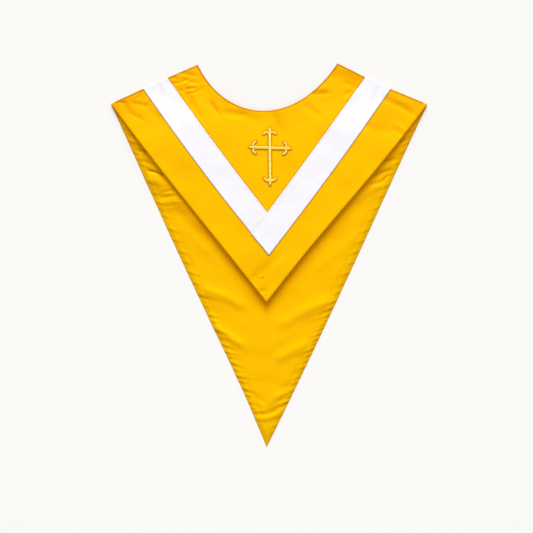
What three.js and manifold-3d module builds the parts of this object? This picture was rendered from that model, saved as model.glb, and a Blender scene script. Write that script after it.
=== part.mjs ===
// A choir stole laid flat, front up: a short front V and a long back V of gold satin joined at
// two shoulder seams, two white trim bands that cross at the front's point, and a raised
// embroidered cross. Millimetres. +X is the right of the stole as seen, +Y runs from the back
// panel's point to the neck, +Z is up, and the back panel lies on z = 0.

import * as THREE from 'three';
import { mergeVertices } from 'three/addons/utils/BufferGeometryUtils.js';
import Module from 'manifold-3d';

const { degToRad, lerp, smoothstep } = THREE.MathUtils;

// Cloth
const WALL = 1.5; // a panel: shell, lining and the turned seam allowances between them
const WALL_MIN = 1.25;
const WALL_MAX = 2.9;
const BAND_WALL = 1.0;
const SEAM_GAP = 0.3;
const EDGE_ROUND = 0.7; // how far a rolled edge stands out past the flat of a face

// Outline of the laid stole, seen from above
const CORNERS = {
  left: { shoulderX: -260.5, shoulderY: 249.8, neckX: -118.3 },
  right: { shoulderX: 260.4, shoulderY: 249.0, neckX: 113.1 },
};
const NECK_LOW = { x: -9.4, y: 237.8 };
const FRONT_TIP = { x: -4.4, y: -74.6 };
const BACK_TIP = { x: -4.1, y: -315.7 };
const BACK_NECK_DROP = 2.2; // the back's neckline hides under the front's

// The neckline is two elliptic arcs that meet level at its lowest point
const NECK_ARC = {
  left: { across: 123.8, up: 145.2 },
  right: { across: 181.5, up: 299.0 },
};

// How far each long edge leaves the straight line between its ends: belly is one bow outwards,
// sway is a slow S, and late is a bow near the lower end, inwards if positive
const SHOULDER_SAG = { left: 0, right: 3.0 };
const FRONT_EDGE = {
  left: { belly: 2.6, sway: 0 },
  right: { belly: 0, sway: 2.3 },
};
const BACK_EDGE_LATE = { left: 4.0, right: -1.5 };

// The long sides of the trim bands: where each starts, as a share of the shoulder from its outer
// corner, the point where it meets the other band's side, and its bow
const BAND_SIDES = {
  outer: {
    apex: { x: -0.3, y: 0.4 },
    left: { start: 0.383, belly: 3.9 },
    right: { start: 0.412, belly: 1.9 },
  },
  inner: {
    apex: { x: -2.8, y: 71.4 },
    left: { start: 0.654, belly: 1.3 },
    right: { start: 0.7, belly: 0 },
  },
};
const FOLDED_END = { x: -30.0, y: 35.8 }; // the right band's end on the left band's outer side
const FOLDED_END_WIDTH = 1.2; // the blunt upper corner of that end
const LAP_STEPS = 3;

// How the front panel lies over the back: it is sewn down at the shoulders, its point rests on
// the back panel, and it stands a little clear between them
const SEAM_Z = WALL + SEAM_GAP;
const LOFT = 6.4;
const LOFT_AT_NECK = 0.74; // share of the loft at the neckline
const TIP_REST = 0.45;
const LOFT_RUN = { shoulder: 70, tip: 125, neck: 90 };

// Soft dents and swells of the front panel: centre, half length, half width, direction, height
const FRONT_SWELLS = [
  { x: -142, y: 283, length: 34, width: 13, turn: 12, height: -0.5 },
  { x: -208, y: 262, length: 30, width: 13, turn: 30, height: -0.45 },
  { x: -190, y: 236, length: 26, width: 14, turn: 24, height: 0.4 },
  { x: -120, y: 262, length: 30, width: 15, turn: 10, height: 0.4 },
  { x: 92, y: 262, length: 30, width: 15, turn: -30, height: -0.4 },
  { x: 196, y: 214, length: 30, width: 14, turn: -35, height: -0.5 },
  { x: 222, y: 243, length: 24, width: 13, turn: -20, height: 0.45 },
  { x: 2, y: -18, length: 26, width: 14, turn: 70, height: -0.5 },
];

// Largest folds of the back panel's upper face: a ridge or a trough from one point to another
const BACK_FOLDS = [
  { x1: -118, y1: -58, x2: -40, y2: -92, width: 13, height: 1.0 },
  { x1: 98, y1: -72, x2: 38, y2: -112, width: 13, height: 0.9 },
  { x1: 46, y1: -122, x2: 6, y2: -140, width: 11, height: -0.25 },
  { x1: -88, y1: -116, x2: -36, y2: -150, width: 12, height: 0.9 },
  { x1: 82, y1: -148, x2: 4, y2: -182, width: 12, height: 1.1 },
  { x1: -28, y1: -188, x2: 50, y2: -172, width: 9, height: -0.25 },
  { x1: -70, y1: -206, x2: 32, y2: -190, width: 10, height: 1.0 },
  { x1: -48, y1: -236, x2: 34, y2: -222, width: 8, height: -0.25 },
  { x1: -38, y1: -252, x2: 28, y2: -240, width: 8, height: 1.2 },
  { x1: -24, y1: -286, x2: 16, y2: -276, width: 8, height: 0.5 },
  { x1: -206, y1: 168, x2: -168, y2: 132, width: 9, height: 0.9 },
  { x1: -172, y1: 122, x2: -128, y2: 70, width: 10, height: 0.8 },
  { x1: -128, y1: 34, x2: -92, y2: -6, width: 10, height: 0.8 },
  { x1: 218, y1: 186, x2: 184, y2: 150, width: 9, height: 0.9 },
  { x1: 176, y1: 96, x2: 132, y2: 62, width: 10, height: 0.8 },
  { x1: 132, y1: 22, x2: 86, y2: -16, width: 10, height: 0.8 },
];

// Small gathers along the back panel's side seams: the height of the spot on the seam, the reach
// inwards, half the width along the seam, the height of the puff, and the rise of its inner end
const BACK_GATHERS = {
  left: [
    { y: 204, reach: 15, width: 5, puff: 0.5, rise: -4 },
    { y: 172, reach: 18, width: 6, puff: 0.7, rise: -6 },
    { y: 138, reach: 16, width: 5, puff: 0.6, rise: -3 },
    { y: 104, reach: 20, width: 6, puff: 0.6, rise: -5 },
    { y: 66, reach: 15, width: 5, puff: 0.5, rise: -4 },
    { y: 30, reach: 18, width: 5, puff: 0.7, rise: -5 },
    { y: 2, reach: 14, width: 5, puff: 0.6, rise: -4 },
    { y: -16, reach: 18, width: 4.5, puff: 0.8, rise: -6 },
    { y: -38, reach: 14, width: 4.5, puff: 0.6, rise: -4 },
    { y: -58, reach: 20, width: 5, puff: 0.9, rise: -7 },
    { y: -82, reach: 15, width: 5, puff: 0.6, rise: -4 },
    { y: -104, reach: 17, width: 4.5, puff: 0.7, rise: -5 },
    { y: -124, reach: 15, width: 4.5, puff: 0.7, rise: -4 },
    { y: -143, reach: 17, width: 4.5, puff: 0.8, rise: -6 },
    { y: -162, reach: 14, width: 4.5, puff: 0.9, rise: -3 },
    { y: -183, reach: 19, width: 5, puff: 1.0, rise: -5 },
    { y: -203, reach: 15, width: 4.5, puff: 0.8, rise: -3 },
    { y: -222, reach: 13, width: 4.5, puff: 0.8, rise: -3 },
    { y: -243, reach: 12, width: 4.5, puff: 0.7, rise: -2 },
    { y: -264, reach: 9, width: 4.5, puff: 0.6, rise: -1 },
  ],
  right: [
    { y: 198, reach: 16, width: 5, puff: 0.6, rise: -5 },
    { y: 160, reach: 18, width: 6, puff: 0.7, rise: -8 },
    { y: 128, reach: 15, width: 5, puff: 0.5, rise: -4 },
    { y: 92, reach: 19, width: 6, puff: 0.6, rise: -5 },
    { y: 54, reach: 16, width: 5, puff: 0.6, rise: -5 },
    { y: 22, reach: 15, width: 5, puff: 0.5, rise: -4 },
    { y: -6, reach: 15, width: 5, puff: 0.7, rise: -4 },
    { y: -26, reach: 17, width: 4.5, puff: 0.7, rise: -5 },
    { y: -48, reach: 14, width: 4.5, puff: 0.6, rise: -4 },
    { y: -70, reach: 18, width: 5, puff: 0.8, rise: -6 },
    { y: -92, reach: 16, width: 4.5, puff: 0.8, rise: -5 },
    { y: -112, reach: 18, width: 4.5, puff: 0.8, rise: -6 },
    { y: -131, reach: 14, width: 4.5, puff: 1.0, rise: -5 },
    { y: -150, reach: 17, width: 4.5, puff: 0.9, rise: -6 },
    { y: -171, reach: 18, width: 5, puff: 1.1, rise: -7 },
    { y: -192, reach: 14, width: 4.5, puff: 0.8, rise: -4 },
    { y: -212, reach: 13, width: 4.5, puff: 0.8, rise: -4 },
    { y: -234, reach: 12, width: 4.5, puff: 0.7, rise: -3 },
    { y: -256, reach: 9, width: 4.5, puff: 0.6, rise: -2 },
  ],
};
const FOLDS_START_OUTSIDE = 12; // folds are full this far outside the front panel's edge
const FOLDS_END_INSIDE = 26; // and have died away this far under it
const FLAT_AT_SHOULDER = { from: 20, to: 60 };
const FLAT_AT_TIP = { from: 8, to: 40 };

// Embroidered cross: satin stitch bars with spear ends, and a pair of hooks behind each end
const CROSS_ARMS = {
  top: { x: 0.7, y: 211.6 },
  bottom: { x: 1.6, y: 113.6 },
  left: { x: -34.1, y: 177.8 },
  right: { x: 37.6, y: 175.6 },
};
const CROSS_BAR = { halfWidth: 2.6, tipHalfWidth: 0.5, spear: 10, step: 4 };
const CROSS_RAISED = { upright: 1.4, crossbar: 1.1, hook: 0.95 };
const CROSS_GAP = { upright: 0.36, crossbar: 0.4, hook: 0.44 };
const HOOK = {
  fromTip: 10.6,
  reach: 11.2,
  bulge: 2.1,
  curl: 3.9,
  halfWidth: 1.7,
  tipHalfWidth: 0.7,
  steps: 7,
};

// How finely the walls are divided
const FRONT_COLUMNS_A_SIDE = 22;
const FRONT_HEM_ROWS = [0, 4, 16, 32]; // distances from the edge
const BAND_STEPS = 3;
const YOKE_STEPS = 6;
const BACK_ROW_STEP = 6;
const BACK_COLUMNS = [0, 3.5, 9, 16, 26, 42, 66, 98, 140, 190]; // distances from the side seam

const GOLD_SATIN = { color: 0xfdc601, roughness: 0.42, metalness: 0 };
const WHITE_SATIN = { color: 0xfbfafd, roughness: 0.4, metalness: 0 };
const GOLD_THREAD = { color: 0xf5c147, roughness: 0.35, metalness: 0 };

const SIDES = ['left', 'right'];
const SIGN = { left: -1, right: 1 };

function neckRise(side, x) {
  const arc = NECK_ARC[side];
  const across = Math.min(1, Math.abs(x - NECK_LOW.x) / arc.across);
  return arc.up * (1 - Math.sqrt(1 - across ** 2));
}

function neckCornerY(side) {
  return NECK_LOW.y + neckRise(side, CORNERS[side].neckX);
}

// A point on the front's neckline, from the neck corner to the lowest point
function neckPoint(side, share) {
  const arc = NECK_ARC[side];
  const widest = Math.asin(Math.abs(CORNERS[side].neckX - NECK_LOW.x) / arc.across);
  const x = NECK_LOW.x + SIGN[side] * arc.across * Math.sin(widest * (1 - share));
  return { x, y: NECK_LOW.y + neckRise(side, x) };
}

// The back's neckline at a height: the front's, stretched down to its own lowest point
function backNeckX(side, y) {
  const low = NECK_LOW.y - BACK_NECK_DROP;
  const arc = NECK_ARC[side];
  const share = (y - low) / (neckCornerY(side) - low);
  const rise = share * neckRise(side, CORNERS[side].neckX);
  return NECK_LOW.x + SIGN[side] * arc.across * Math.sqrt(1 - (1 - rise / arc.up) ** 2);
}

function shoulderPoint(side, share) {
  const corner = CORNERS[side];
  const sag = SHOULDER_SAG[side] * 4 * share * (1 - share);
  return {
    x: lerp(corner.shoulderX, corner.neckX, share),
    y: lerp(corner.shoulderY, neckCornerY(side), share) - sag,
  };
}

// The shoulder line's x at a height, found by halving the share
function shoulderX(side, y) {
  let low = 0;
  let high = 1;
  for (let turn = 0; turn < 30; turn += 1) {
    const middle = (low + high) / 2;
    if (shoulderPoint(side, middle).y < y) {
      low = middle;
    } else {
      high = middle;
    }
  }
  return shoulderPoint(side, (low + high) / 2).x;
}

// A line from one point to another that leaves the straight by an outward amount
function bowedPoint(from, to, share, outward, side) {
  const dx = to.x - from.x;
  const dy = to.y - from.y;
  const length = Math.hypot(dx, dy);
  return {
    x: lerp(from.x, to.x, share) - (SIGN[side] * dy * outward) / length,
    y: lerp(from.y, to.y, share) + (SIGN[side] * dx * outward) / length,
  };
}

function frontEdgePoint(side, share) {
  const { belly, sway } = FRONT_EDGE[side];
  const outward = belly * Math.sin(Math.PI * share ** 0.8) + sway * Math.sin(2 * Math.PI * share);
  return bowedPoint(shoulderPoint(side, 0), FRONT_TIP, share, outward, side);
}

function bandSidePoint(edge, side, share) {
  const { apex, [side]: run } = BAND_SIDES[edge];
  const outward = run.belly * Math.sin(Math.PI * share);
  return bowedPoint(shoulderPoint(side, run.start), apex, share, outward, side);
}

function backEdgeX(side, y) {
  const corner = CORNERS[side];
  const share = Math.max(0, (corner.shoulderY - y) / (corner.shoulderY - BACK_TIP.y));
  const inward = BACK_EDGE_LATE[side] * Math.sin(Math.PI * share ** 3);
  return lerp(corner.shoulderX, BACK_TIP.x, share) - SIGN[side] * inward;
}

// Distance to the right of a line from one point to another
function rightOf(from, to, x, y) {
  const dx = to.x - from.x;
  const dy = to.y - from.y;
  return (dy * (x - from.x) - dx * (y - from.y)) / Math.hypot(dx, dy);
}

// Distance inside the nearer shoulder seam
function fromShoulder(x, y) {
  const inside = (side) =>
    -SIGN[side] * rightOf(shoulderPoint(side, 0), shoulderPoint(side, 1), x, y);
  return Math.min(inside('left'), inside('right'));
}

// Distance inside the front panel's nearer long edge
function fromFrontEdge(x, y) {
  const inside = (side) => SIGN[side] * rightOf(shoulderPoint(side, 0), FRONT_TIP, x, y);
  return Math.min(inside('left'), inside('right'));
}

function fromFrontTip(x, y) {
  return Math.hypot(x - FRONT_TIP.x, y - FRONT_TIP.y);
}

function bump(distance, width) {
  return Math.exp(-((distance / width) ** 2));
}

function frontSwell(x, y) {
  let total = 0;
  for (const swell of FRONT_SWELLS) {
    const turn = degToRad(swell.turn);
    const dx = x - swell.x;
    const dy = y - swell.y;
    const along = dx * Math.cos(turn) + dy * Math.sin(turn);
    const aside = dy * Math.cos(turn) - dx * Math.sin(turn);
    total += swell.height * bump(along, swell.length) * bump(aside, swell.width);
  }
  return total;
}

// Height of the front panel's under face
function frontUnder({ x, y }) {
  const side = x < NECK_LOW.x ? 'left' : 'right';
  const fromNeck = NECK_LOW.y + neckRise(side, x) - y;
  const seam = smoothstep(fromShoulder(x, y), 0, LOFT_RUN.shoulder);
  const tip = smoothstep(fromFrontTip(x, y), 0, LOFT_RUN.tip);
  const neck = lerp(LOFT_AT_NECK, 1, smoothstep(fromNeck, 0, LOFT_RUN.neck));
  return SEAM_Z + seam * (TIP_REST * (1 - tip) + tip * (LOFT * neck + frontSwell(x, y)));
}

function frontTop(point) {
  return frontUnder(point) + WALL;
}

function foldHeight(x, y) {
  let total = 0;
  for (const fold of BACK_FOLDS) {
    const length = Math.hypot(fold.x2 - fold.x1, fold.y2 - fold.y1);
    const from = { x: fold.x1, y: fold.y1 };
    const to = { x: fold.x2, y: fold.y2 };
    const along = ((x - from.x) * (to.x - from.x) + (y - from.y) * (to.y - from.y)) / length;
    const past = Math.max(0, -along, along - length);
    total += fold.height * bump(rightOf(from, to, x, y), fold.width) * bump(past, 2 * fold.width);
  }
  return total;
}

function gatherHeight(x, y) {
  let total = 0;
  for (const side of SIDES) {
    const inward = Math.max(0, SIGN[side] * (backEdgeX(side, y) - x));
    for (const gather of BACK_GATHERS[side]) {
      const along = y - gather.y - (gather.rise * inward) / gather.reach;
      total += gather.puff * bump(along, gather.width) * bump(inward, gather.reach);
    }
  }
  return total;
}

// Height of the back panel's upper face. Its folds show where the front panel leaves it bare, and
// it lies flat where the front rests on it.
function backTop({ x, y }) {
  const bare = 1 - smoothstep(fromFrontEdge(x, y), -FOLDS_START_OUTSIDE, FOLDS_END_INSIDE);
  const seam = smoothstep(fromShoulder(x, y), FLAT_AT_SHOULDER.from, FLAT_AT_SHOULDER.to);
  const tip = smoothstep(fromFrontTip(x, y), FLAT_AT_TIP.from, FLAT_AT_TIP.to);
  const raised = WALL + bare * seam * tip * (foldHeight(x, y) + gatherHeight(x, y));
  return Math.min(WALL_MAX, Math.max(WALL_MIN, raised));
}

// A closed body put together from points; points in the same place become one
class Body {
  constructor() {
    this.corners = [];
  }

  triangle(a, b, c) {
    for (const point of [a, b, c]) {
      this.corners.push(point.x, point.y, point.z);
    }
  }

  quad(a, b, c, d) {
    this.triangle(a, b, c);
    this.triangle(a, c, d);
  }

  // The strip between two closed rings of equal length, the lower one first
  strip(lower, upper) {
    lower.forEach((point, i) => {
      const next = (i + 1) % lower.length;
      this.quad(point, lower[next], upper[next], upper[i]);
    });
  }

  // The face between two rows that may differ in their number of points
  zip(rowA, rowB, turned) {
    const reach = (row, i) => Math.abs(row[i].x - row[0].x);
    let a = 0;
    let b = 0;
    while (a < rowA.length - 1 || b < rowB.length - 1) {
      const stepA = a < rowA.length - 1 ? reach(rowA, a + 1) : Infinity;
      const stepB = b < rowB.length - 1 ? reach(rowB, b + 1) : Infinity;
      const next = stepA <= stepB ? rowA[a + 1] : rowB[b + 1];
      if (turned) {
        this.triangle(rowA[a], rowB[b], next);
      } else {
        this.triangle(rowA[a], next, rowB[b]);
      }
      if (stepA <= stepB) {
        a += 1;
      } else {
        b += 1;
      }
    }
  }

  geometry() {
    const loose = new THREE.BufferGeometry();
    loose.setAttribute('position', new THREE.Float32BufferAttribute(this.corners, 3));
    const geometry = mergeVertices(loose, 1e-4);
    geometry.computeVertexNormals();
    return geometry;
  }
}

// A closed anticlockwise ring of points, moved outwards
function pushedOut(ring, distance) {
  return ring.map((point, i) => {
    const before = ring[(i + ring.length - 1) % ring.length];
    const after = ring[(i + 1) % ring.length];
    const arriving = new THREE.Vector2(point.x - before.x, point.y - before.y).normalize();
    const leaving = new THREE.Vector2(after.x - point.x, after.y - point.y).normalize();
    const out = new THREE.Vector2(arriving.y + leaving.y, -arriving.x - leaving.x).normalize();
    const push = distance / Math.max(0.45, out.x * leaving.y - out.y * leaving.x);
    return { ...point, x: point.x + out.x * push, y: point.y + out.y * push };
  });
}

// The rolled edge that closes a wall, round a ring whose points know both faces' heights
function rollEdge(body, ring) {
  const at = (height) => ring.map((point) => ({ x: point.x, y: point.y, z: point[height] }));
  const thinnest = Math.min(...ring.map((point) => point.top - point.under));
  const middle = pushedOut(ring, Math.min(EDGE_ROUND, thinnest / 2)).map((point) => ({
    x: point.x,
    y: point.y,
    z: (point.top + point.under) / 2,
  }));
  body.strip(at('under'), middle);
  body.strip(middle, at('top'));
}

// The border of a grid, anticlockwise. Row 0 is the outer edge, and the columns run from the left
// shoulder round the point of the V to the right shoulder.
function gridBorder(grid) {
  const last = grid.length - 1;
  const end = grid[0].length - 1;
  const inner = grid.slice(1, last);
  return [
    ...grid[0],
    ...inner.map((row) => row[end]),
    ...grid[last].slice().reverse(),
    ...inner.map((row) => row[0]).reverse(),
  ];
}

// A cloth wall on a grid of points, from the height of its under face
function wallFromGrid(grid, underHeight, thickness) {
  const body = new Body();
  const placed = grid.map((row) =>
    row.map((point) => {
      const under = underHeight(point);
      return { x: point.x, y: point.y, under, top: under + thickness };
    }),
  );
  const face = (height) =>
    placed.map((row) => row.map((point) => ({ x: point.x, y: point.y, z: point[height] })));
  const top = face('top');
  const under = face('under');
  for (let j = 0; j + 1 < grid.length; j += 1) {
    for (let i = 0; i + 1 < grid[0].length; i += 1) {
      body.quad(top[j][i], top[j][i + 1], top[j + 1][i + 1], top[j + 1][i]);
      body.quad(under[j][i + 1], under[j][i], under[j + 1][i], under[j + 1][i + 1]);
    }
  }
  rollEdge(body, gridBorder(placed));
  return body.geometry();
}

function betweenRows(from, to, share) {
  return from.map((point, i) => ({
    x: lerp(point.x, to[i].x, share),
    y: lerp(point.y, to[i].y, share),
  }));
}

// A row of the front's grid along a line that is given for each side from shoulder to middle
function chevronRow(line) {
  const row = [];
  for (let i = 0; i <= 2 * FRONT_COLUMNS_A_SIDE; i += 1) {
    const share = i / FRONT_COLUMNS_A_SIDE;
    row.push(share <= 1 ? line('left', share) : line('right', 2 - share));
  }
  return row;
}

function frontGrid() {
  const edge = chevronRow(frontEdgePoint);
  const bandOuter = chevronRow((side, share) => bandSidePoint('outer', side, share));
  const bandInner = chevronRow((side, share) => bandSidePoint('inner', side, share));
  const neck = chevronRow(neckPoint);
  const hem = Math.hypot(edge[0].x - bandOuter[0].x, edge[0].y - bandOuter[0].y);
  const rows = FRONT_HEM_ROWS.map((distance) => betweenRows(edge, bandOuter, distance / hem));
  for (let j = 0; j < BAND_STEPS; j += 1) {
    rows.push(betweenRows(bandOuter, bandInner, j / BAND_STEPS));
  }
  for (let j = 0; j <= YOKE_STEPS; j += 1) {
    rows.push(betweenRows(bandInner, neck, j / YOKE_STEPS));
  }
  return rows;
}

// The rows of the front's grid that the bands cover, from the outer side to the inner side
function bandRows(grid) {
  return grid.slice(FRONT_HEM_ROWS.length, FRONT_HEM_ROWS.length + BAND_STEPS + 1);
}

function leftBand(grid) {
  const rows = bandRows(grid).map((row) => row.slice(0, FRONT_COLUMNS_A_SIDE + 1));
  return wallFromGrid(rows, (point) => frontTop(point) + SEAM_GAP, BAND_WALL);
}

// The right band climbs onto the left band's end and stops in line with its outer side
function rightBand(grid) {
  const climb = BAND_WALL + SEAM_GAP;
  const rows = bandRows(grid).map((row, j) => {
    const middle = { ...row[FRONT_COLUMNS_A_SIDE], climb };
    const apex = BAND_SIDES.inner.apex;
    const share = 1 - j / BAND_STEPS;
    const end = {
      x: lerp(apex.x - FOLDED_END_WIDTH, FOLDED_END.x, share),
      y: lerp(apex.y + FOLDED_END_WIDTH, FOLDED_END.y, share),
    };
    const lap = [];
    for (let i = LAP_STEPS; i > 0; i -= 1) {
      const part = i / LAP_STEPS;
      lap.push({ x: lerp(middle.x, end.x, part), y: lerp(middle.y, end.y, part), climb });
    }
    const rest = row.slice(FRONT_COLUMNS_A_SIDE + 1).map((point) => ({ ...point, climb: 0 }));
    return [...lap, middle, ...rest];
  });
  return wallFromGrid(rows, (point) => frontTop(point) + SEAM_GAP + point.climb, BAND_WALL);
}

function evenly(from, to, step) {
  const count = Math.max(1, Math.round(Math.abs(to - from) / step));
  return Array.from({ length: count + 1 }, (unused, i) => lerp(from, to, i / count));
}

// One row of a side of the back panel, from its outer edge to the middle or to the neckline
function backRow(side, y) {
  const low = NECK_LOW.y - BACK_NECK_DROP;
  const below = (y - BACK_TIP.y) / (low - BACK_TIP.y);
  const outer = y <= CORNERS[side].shoulderY ? backEdgeX(side, y) : shoulderX(side, y);
  const inner = below <= 1 ? lerp(BACK_TIP.x, NECK_LOW.x, below) : backNeckX(side, y);
  const width = Math.abs(inner - outer);
  const kept = BACK_COLUMNS.filter((distance) => distance < width * 0.8 && distance < width - 2);
  const row = kept.map((distance) => ({ x: outer - SIGN[side] * distance, y }));
  row.push({ x: inner, y });
  return row;
}

// All rows of a side of the back panel, from its point up to its neck corner
function backRows(side) {
  const low = NECK_LOW.y - BACK_NECK_DROP;
  const shoulder = CORNERS[side].shoulderY;
  const corner = { x: CORNERS[side].neckX, y: neckCornerY(side) };
  const heights = [
    ...evenly(BACK_TIP.y, low, BACK_ROW_STEP).slice(1),
    ...evenly(low, shoulder, BACK_ROW_STEP).slice(1),
    ...evenly(shoulder, corner.y, BACK_ROW_STEP).slice(1, -1),
  ];
  return [[{ ...BACK_TIP }], ...heights.map((y) => backRow(side, y)), [corner]];
}

function backPanel() {
  const body = new Body();
  const border = {};
  for (const side of SIDES) {
    const rows = backRows(side);
    const onTop = rows.map((row) => row.map((point) => ({ ...point, z: backTop(point) })));
    const beneath = rows.map((row) =>
      row.filter((point, i) => i === 0 || i === row.length - 1).map((point) => ({ ...point, z: 0 })),
    );
    for (let j = 0; j + 1 < rows.length; j += 1) {
      body.zip(onTop[j], onTop[j + 1], side === 'right');
      body.zip(beneath[j], beneath[j + 1], side === 'left');
    }
    const edgePoint = (point) => ({ x: point.x, y: point.y, under: 0, top: point.z });
    const joined = rows.findIndex((row) => row[0].y >= NECK_LOW.y - BACK_NECK_DROP);
    border[side] = {
      outer: onTop.map((row) => edgePoint(row[0])),
      neck: onTop.slice(joined).map((row) => edgePoint(row[row.length - 1])),
    };
  }
  const ring = [
    ...border.right.outer,
    ...border.right.neck.slice(0, -1).reverse(),
    ...border.left.neck.slice(1),
    ...border.left.outer.slice(1, -1).reverse(),
  ];
  rollEdge(body, ring);
  return body.geometry();
}

// A strip of satin stitch along a spine: flat below, crowned above. Each spine point has its own
// half width, and the spine's direction gives the way across.
function stitchedStrip(spine, height, gap) {
  const body = new Body();
  const sections = spine.map((point, i) => {
    const before = spine[Math.max(0, i - 1)];
    const after = spine[Math.min(spine.length - 1, i + 1)];
    const along = new THREE.Vector2(after.x - before.x, after.y - before.y).normalize();
    const across = (share, lift) => {
      const x = point.x + along.y * point.halfWidth * share;
      const y = point.y - along.x * point.halfWidth * share;
      return { x, y, z: frontTop({ x, y }) + gap + lift * height };
    };
    return [across(-1, 0), across(-0.8, 0.62), across(0, 1), across(0.8, 0.62), across(1, 0)];
  });
  for (let i = 0; i + 1 < sections.length; i += 1) {
    body.strip(sections[i], sections[i + 1]);
  }
  const first = sections[0];
  const last = sections[sections.length - 1];
  for (let k = 1; k + 1 < first.length; k += 1) {
    body.triangle(first[0], first[k + 1], first[k]);
    body.triangle(last[0], last[k], last[k + 1]);
  }
  return body.geometry();
}

function barSpine(from, to) {
  const length = Math.hypot(to.x - from.x, to.y - from.y);
  return evenly(0, length, CROSS_BAR.step).map((distance) => {
    const fromTip = Math.min(1, Math.min(distance, length - distance) / CROSS_BAR.spear);
    const fullness = 1 - (1 - fromTip) ** 2;
    return {
      x: lerp(from.x, to.x, distance / length),
      y: lerp(from.y, to.y, distance / length),
      halfWidth: lerp(CROSS_BAR.tipHalfWidth, CROSS_BAR.halfWidth, fullness),
    };
  });
}

// A hook that leaves a bar sideways behind its spear and curls back towards the crossing
function hookSpine(tip, opposite, hand) {
  const outward = new THREE.Vector2(tip.x - opposite.x, tip.y - opposite.y).normalize();
  const aside = new THREE.Vector2(-outward.y, outward.x).multiplyScalar(hand);
  return evenly(0, 1, 1 / HOOK.steps).map((share) => {
    const forward = HOOK.bulge * Math.sin(Math.PI * share) - HOOK.curl * share ** 2 - HOOK.fromTip;
    return {
      x: tip.x + outward.x * forward + aside.x * HOOK.reach * share,
      y: tip.y + outward.y * forward + aside.y * HOOK.reach * share,
      halfWidth: lerp(HOOK.halfWidth, HOOK.tipHalfWidth, share ** 3),
    };
  });
}

function toSolid(wasm, geometry) {
  const mesh = new wasm.Mesh({
    numProp: 3,
    vertProperties: geometry.getAttribute('position').array,
    triVerts: new Uint32Array(geometry.getIndex().array),
  });
  return new wasm.Manifold(mesh);
}

function fromSolid(solid) {
  const mesh = solid.getMesh();
  const geometry = new THREE.BufferGeometry();
  geometry.setAttribute('position', new THREE.BufferAttribute(mesh.vertProperties, 3));
  geometry.setIndex(new THREE.BufferAttribute(mesh.triVerts, 1));
  geometry.computeVertexNormals();
  return geometry;
}

function cross(wasm) {
  const { top, bottom, left, right } = CROSS_ARMS;
  const strips = [
    stitchedStrip(barSpine(bottom, top), CROSS_RAISED.upright, CROSS_GAP.upright),
    stitchedStrip(barSpine(left, right), CROSS_RAISED.crossbar, CROSS_GAP.crossbar),
  ];
  const arms = [[top, bottom], [bottom, top], [left, right], [right, left]];
  for (const [tip, opposite] of arms) {
    for (const hand of [-1, 1]) {
      strips.push(stitchedStrip(hookSpine(tip, opposite, hand), CROSS_RAISED.hook, CROSS_GAP.hook));
    }
  }
  const [first, ...others] = strips.map((strip) => toSolid(wasm, strip));
  return fromSolid(others.reduce((joined, strip) => joined.add(strip), first));
}

function piece(name, geometry, finish) {
  const mesh = new THREE.Mesh(geometry, new THREE.MeshStandardMaterial(finish));
  mesh.name = name;
  return mesh;
}

const wasm = await Module();
wasm.setup();

const grid = frontGrid();
const stole = new THREE.Group();
stole.add(
  piece('back_panel', backPanel(), GOLD_SATIN),
  piece('front_panel', wallFromGrid(grid, frontUnder, WALL), GOLD_SATIN),
  piece('trim_band_left', leftBand(grid), WHITE_SATIN),
  piece('trim_band_right', rightBand(grid), WHITE_SATIN),
  piece('cross_embroidery', cross(wasm), GOLD_THREAD),
);

export default stole;
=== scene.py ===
"""Dresses a choir stole that lies flat, front up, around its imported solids.

The cutter's tables below are in millimetres: +X is the right of the stole as seen, +Y runs from
the back panel's point to the neck, and +Z is up from the surface. The meshes are in metres.
"""

import logging
import math
from dataclasses import dataclass, field
from enum import Enum
from functools import partial
from typing import Callable

import bpy
import numpy as np
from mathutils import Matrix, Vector
from mathutils.geometry import delaunay_2d_cdt, tessellate_polygon


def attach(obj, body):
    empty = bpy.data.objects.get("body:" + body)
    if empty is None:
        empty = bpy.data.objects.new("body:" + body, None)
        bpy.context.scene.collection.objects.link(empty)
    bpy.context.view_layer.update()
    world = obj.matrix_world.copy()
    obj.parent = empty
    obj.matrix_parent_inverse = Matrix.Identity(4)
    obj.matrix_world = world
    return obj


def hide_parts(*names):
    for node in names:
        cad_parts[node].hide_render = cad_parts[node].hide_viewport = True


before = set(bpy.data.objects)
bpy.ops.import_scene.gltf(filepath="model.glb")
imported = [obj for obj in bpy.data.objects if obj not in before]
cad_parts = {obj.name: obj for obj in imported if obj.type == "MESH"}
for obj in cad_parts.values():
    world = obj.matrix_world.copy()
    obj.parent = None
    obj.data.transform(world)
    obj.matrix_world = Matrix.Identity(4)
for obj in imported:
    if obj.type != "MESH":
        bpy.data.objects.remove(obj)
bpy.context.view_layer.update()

MM = 0.001
LOG = logging.getLogger("stole")

Array = np.ndarray
Colour = tuple[float, float, float]
Part = tuple[Array, list[tuple[int, ...]]]


class Side(Enum):
    """The two sides of the laid stole, as seen."""

    LEFT = -1
    RIGHT = 1


class BandLine(Enum):
    """The two long sides of a trim band."""

    OUTER = "outer"
    INNER = "inner"


def smoothstep(value: Array, low: float, high: float) -> Array:
    """Rise smoothly from 0 at low to 1 at high."""
    share = np.clip((value - low) / (high - low), 0.0, 1.0)
    return share * share * (3.0 - 2.0 * share)


def bump(distance: Array, width: float) -> Array:
    """Fall from 1 at no distance towards 0 past the width."""
    return np.exp(-((distance / width) ** 2))


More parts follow.
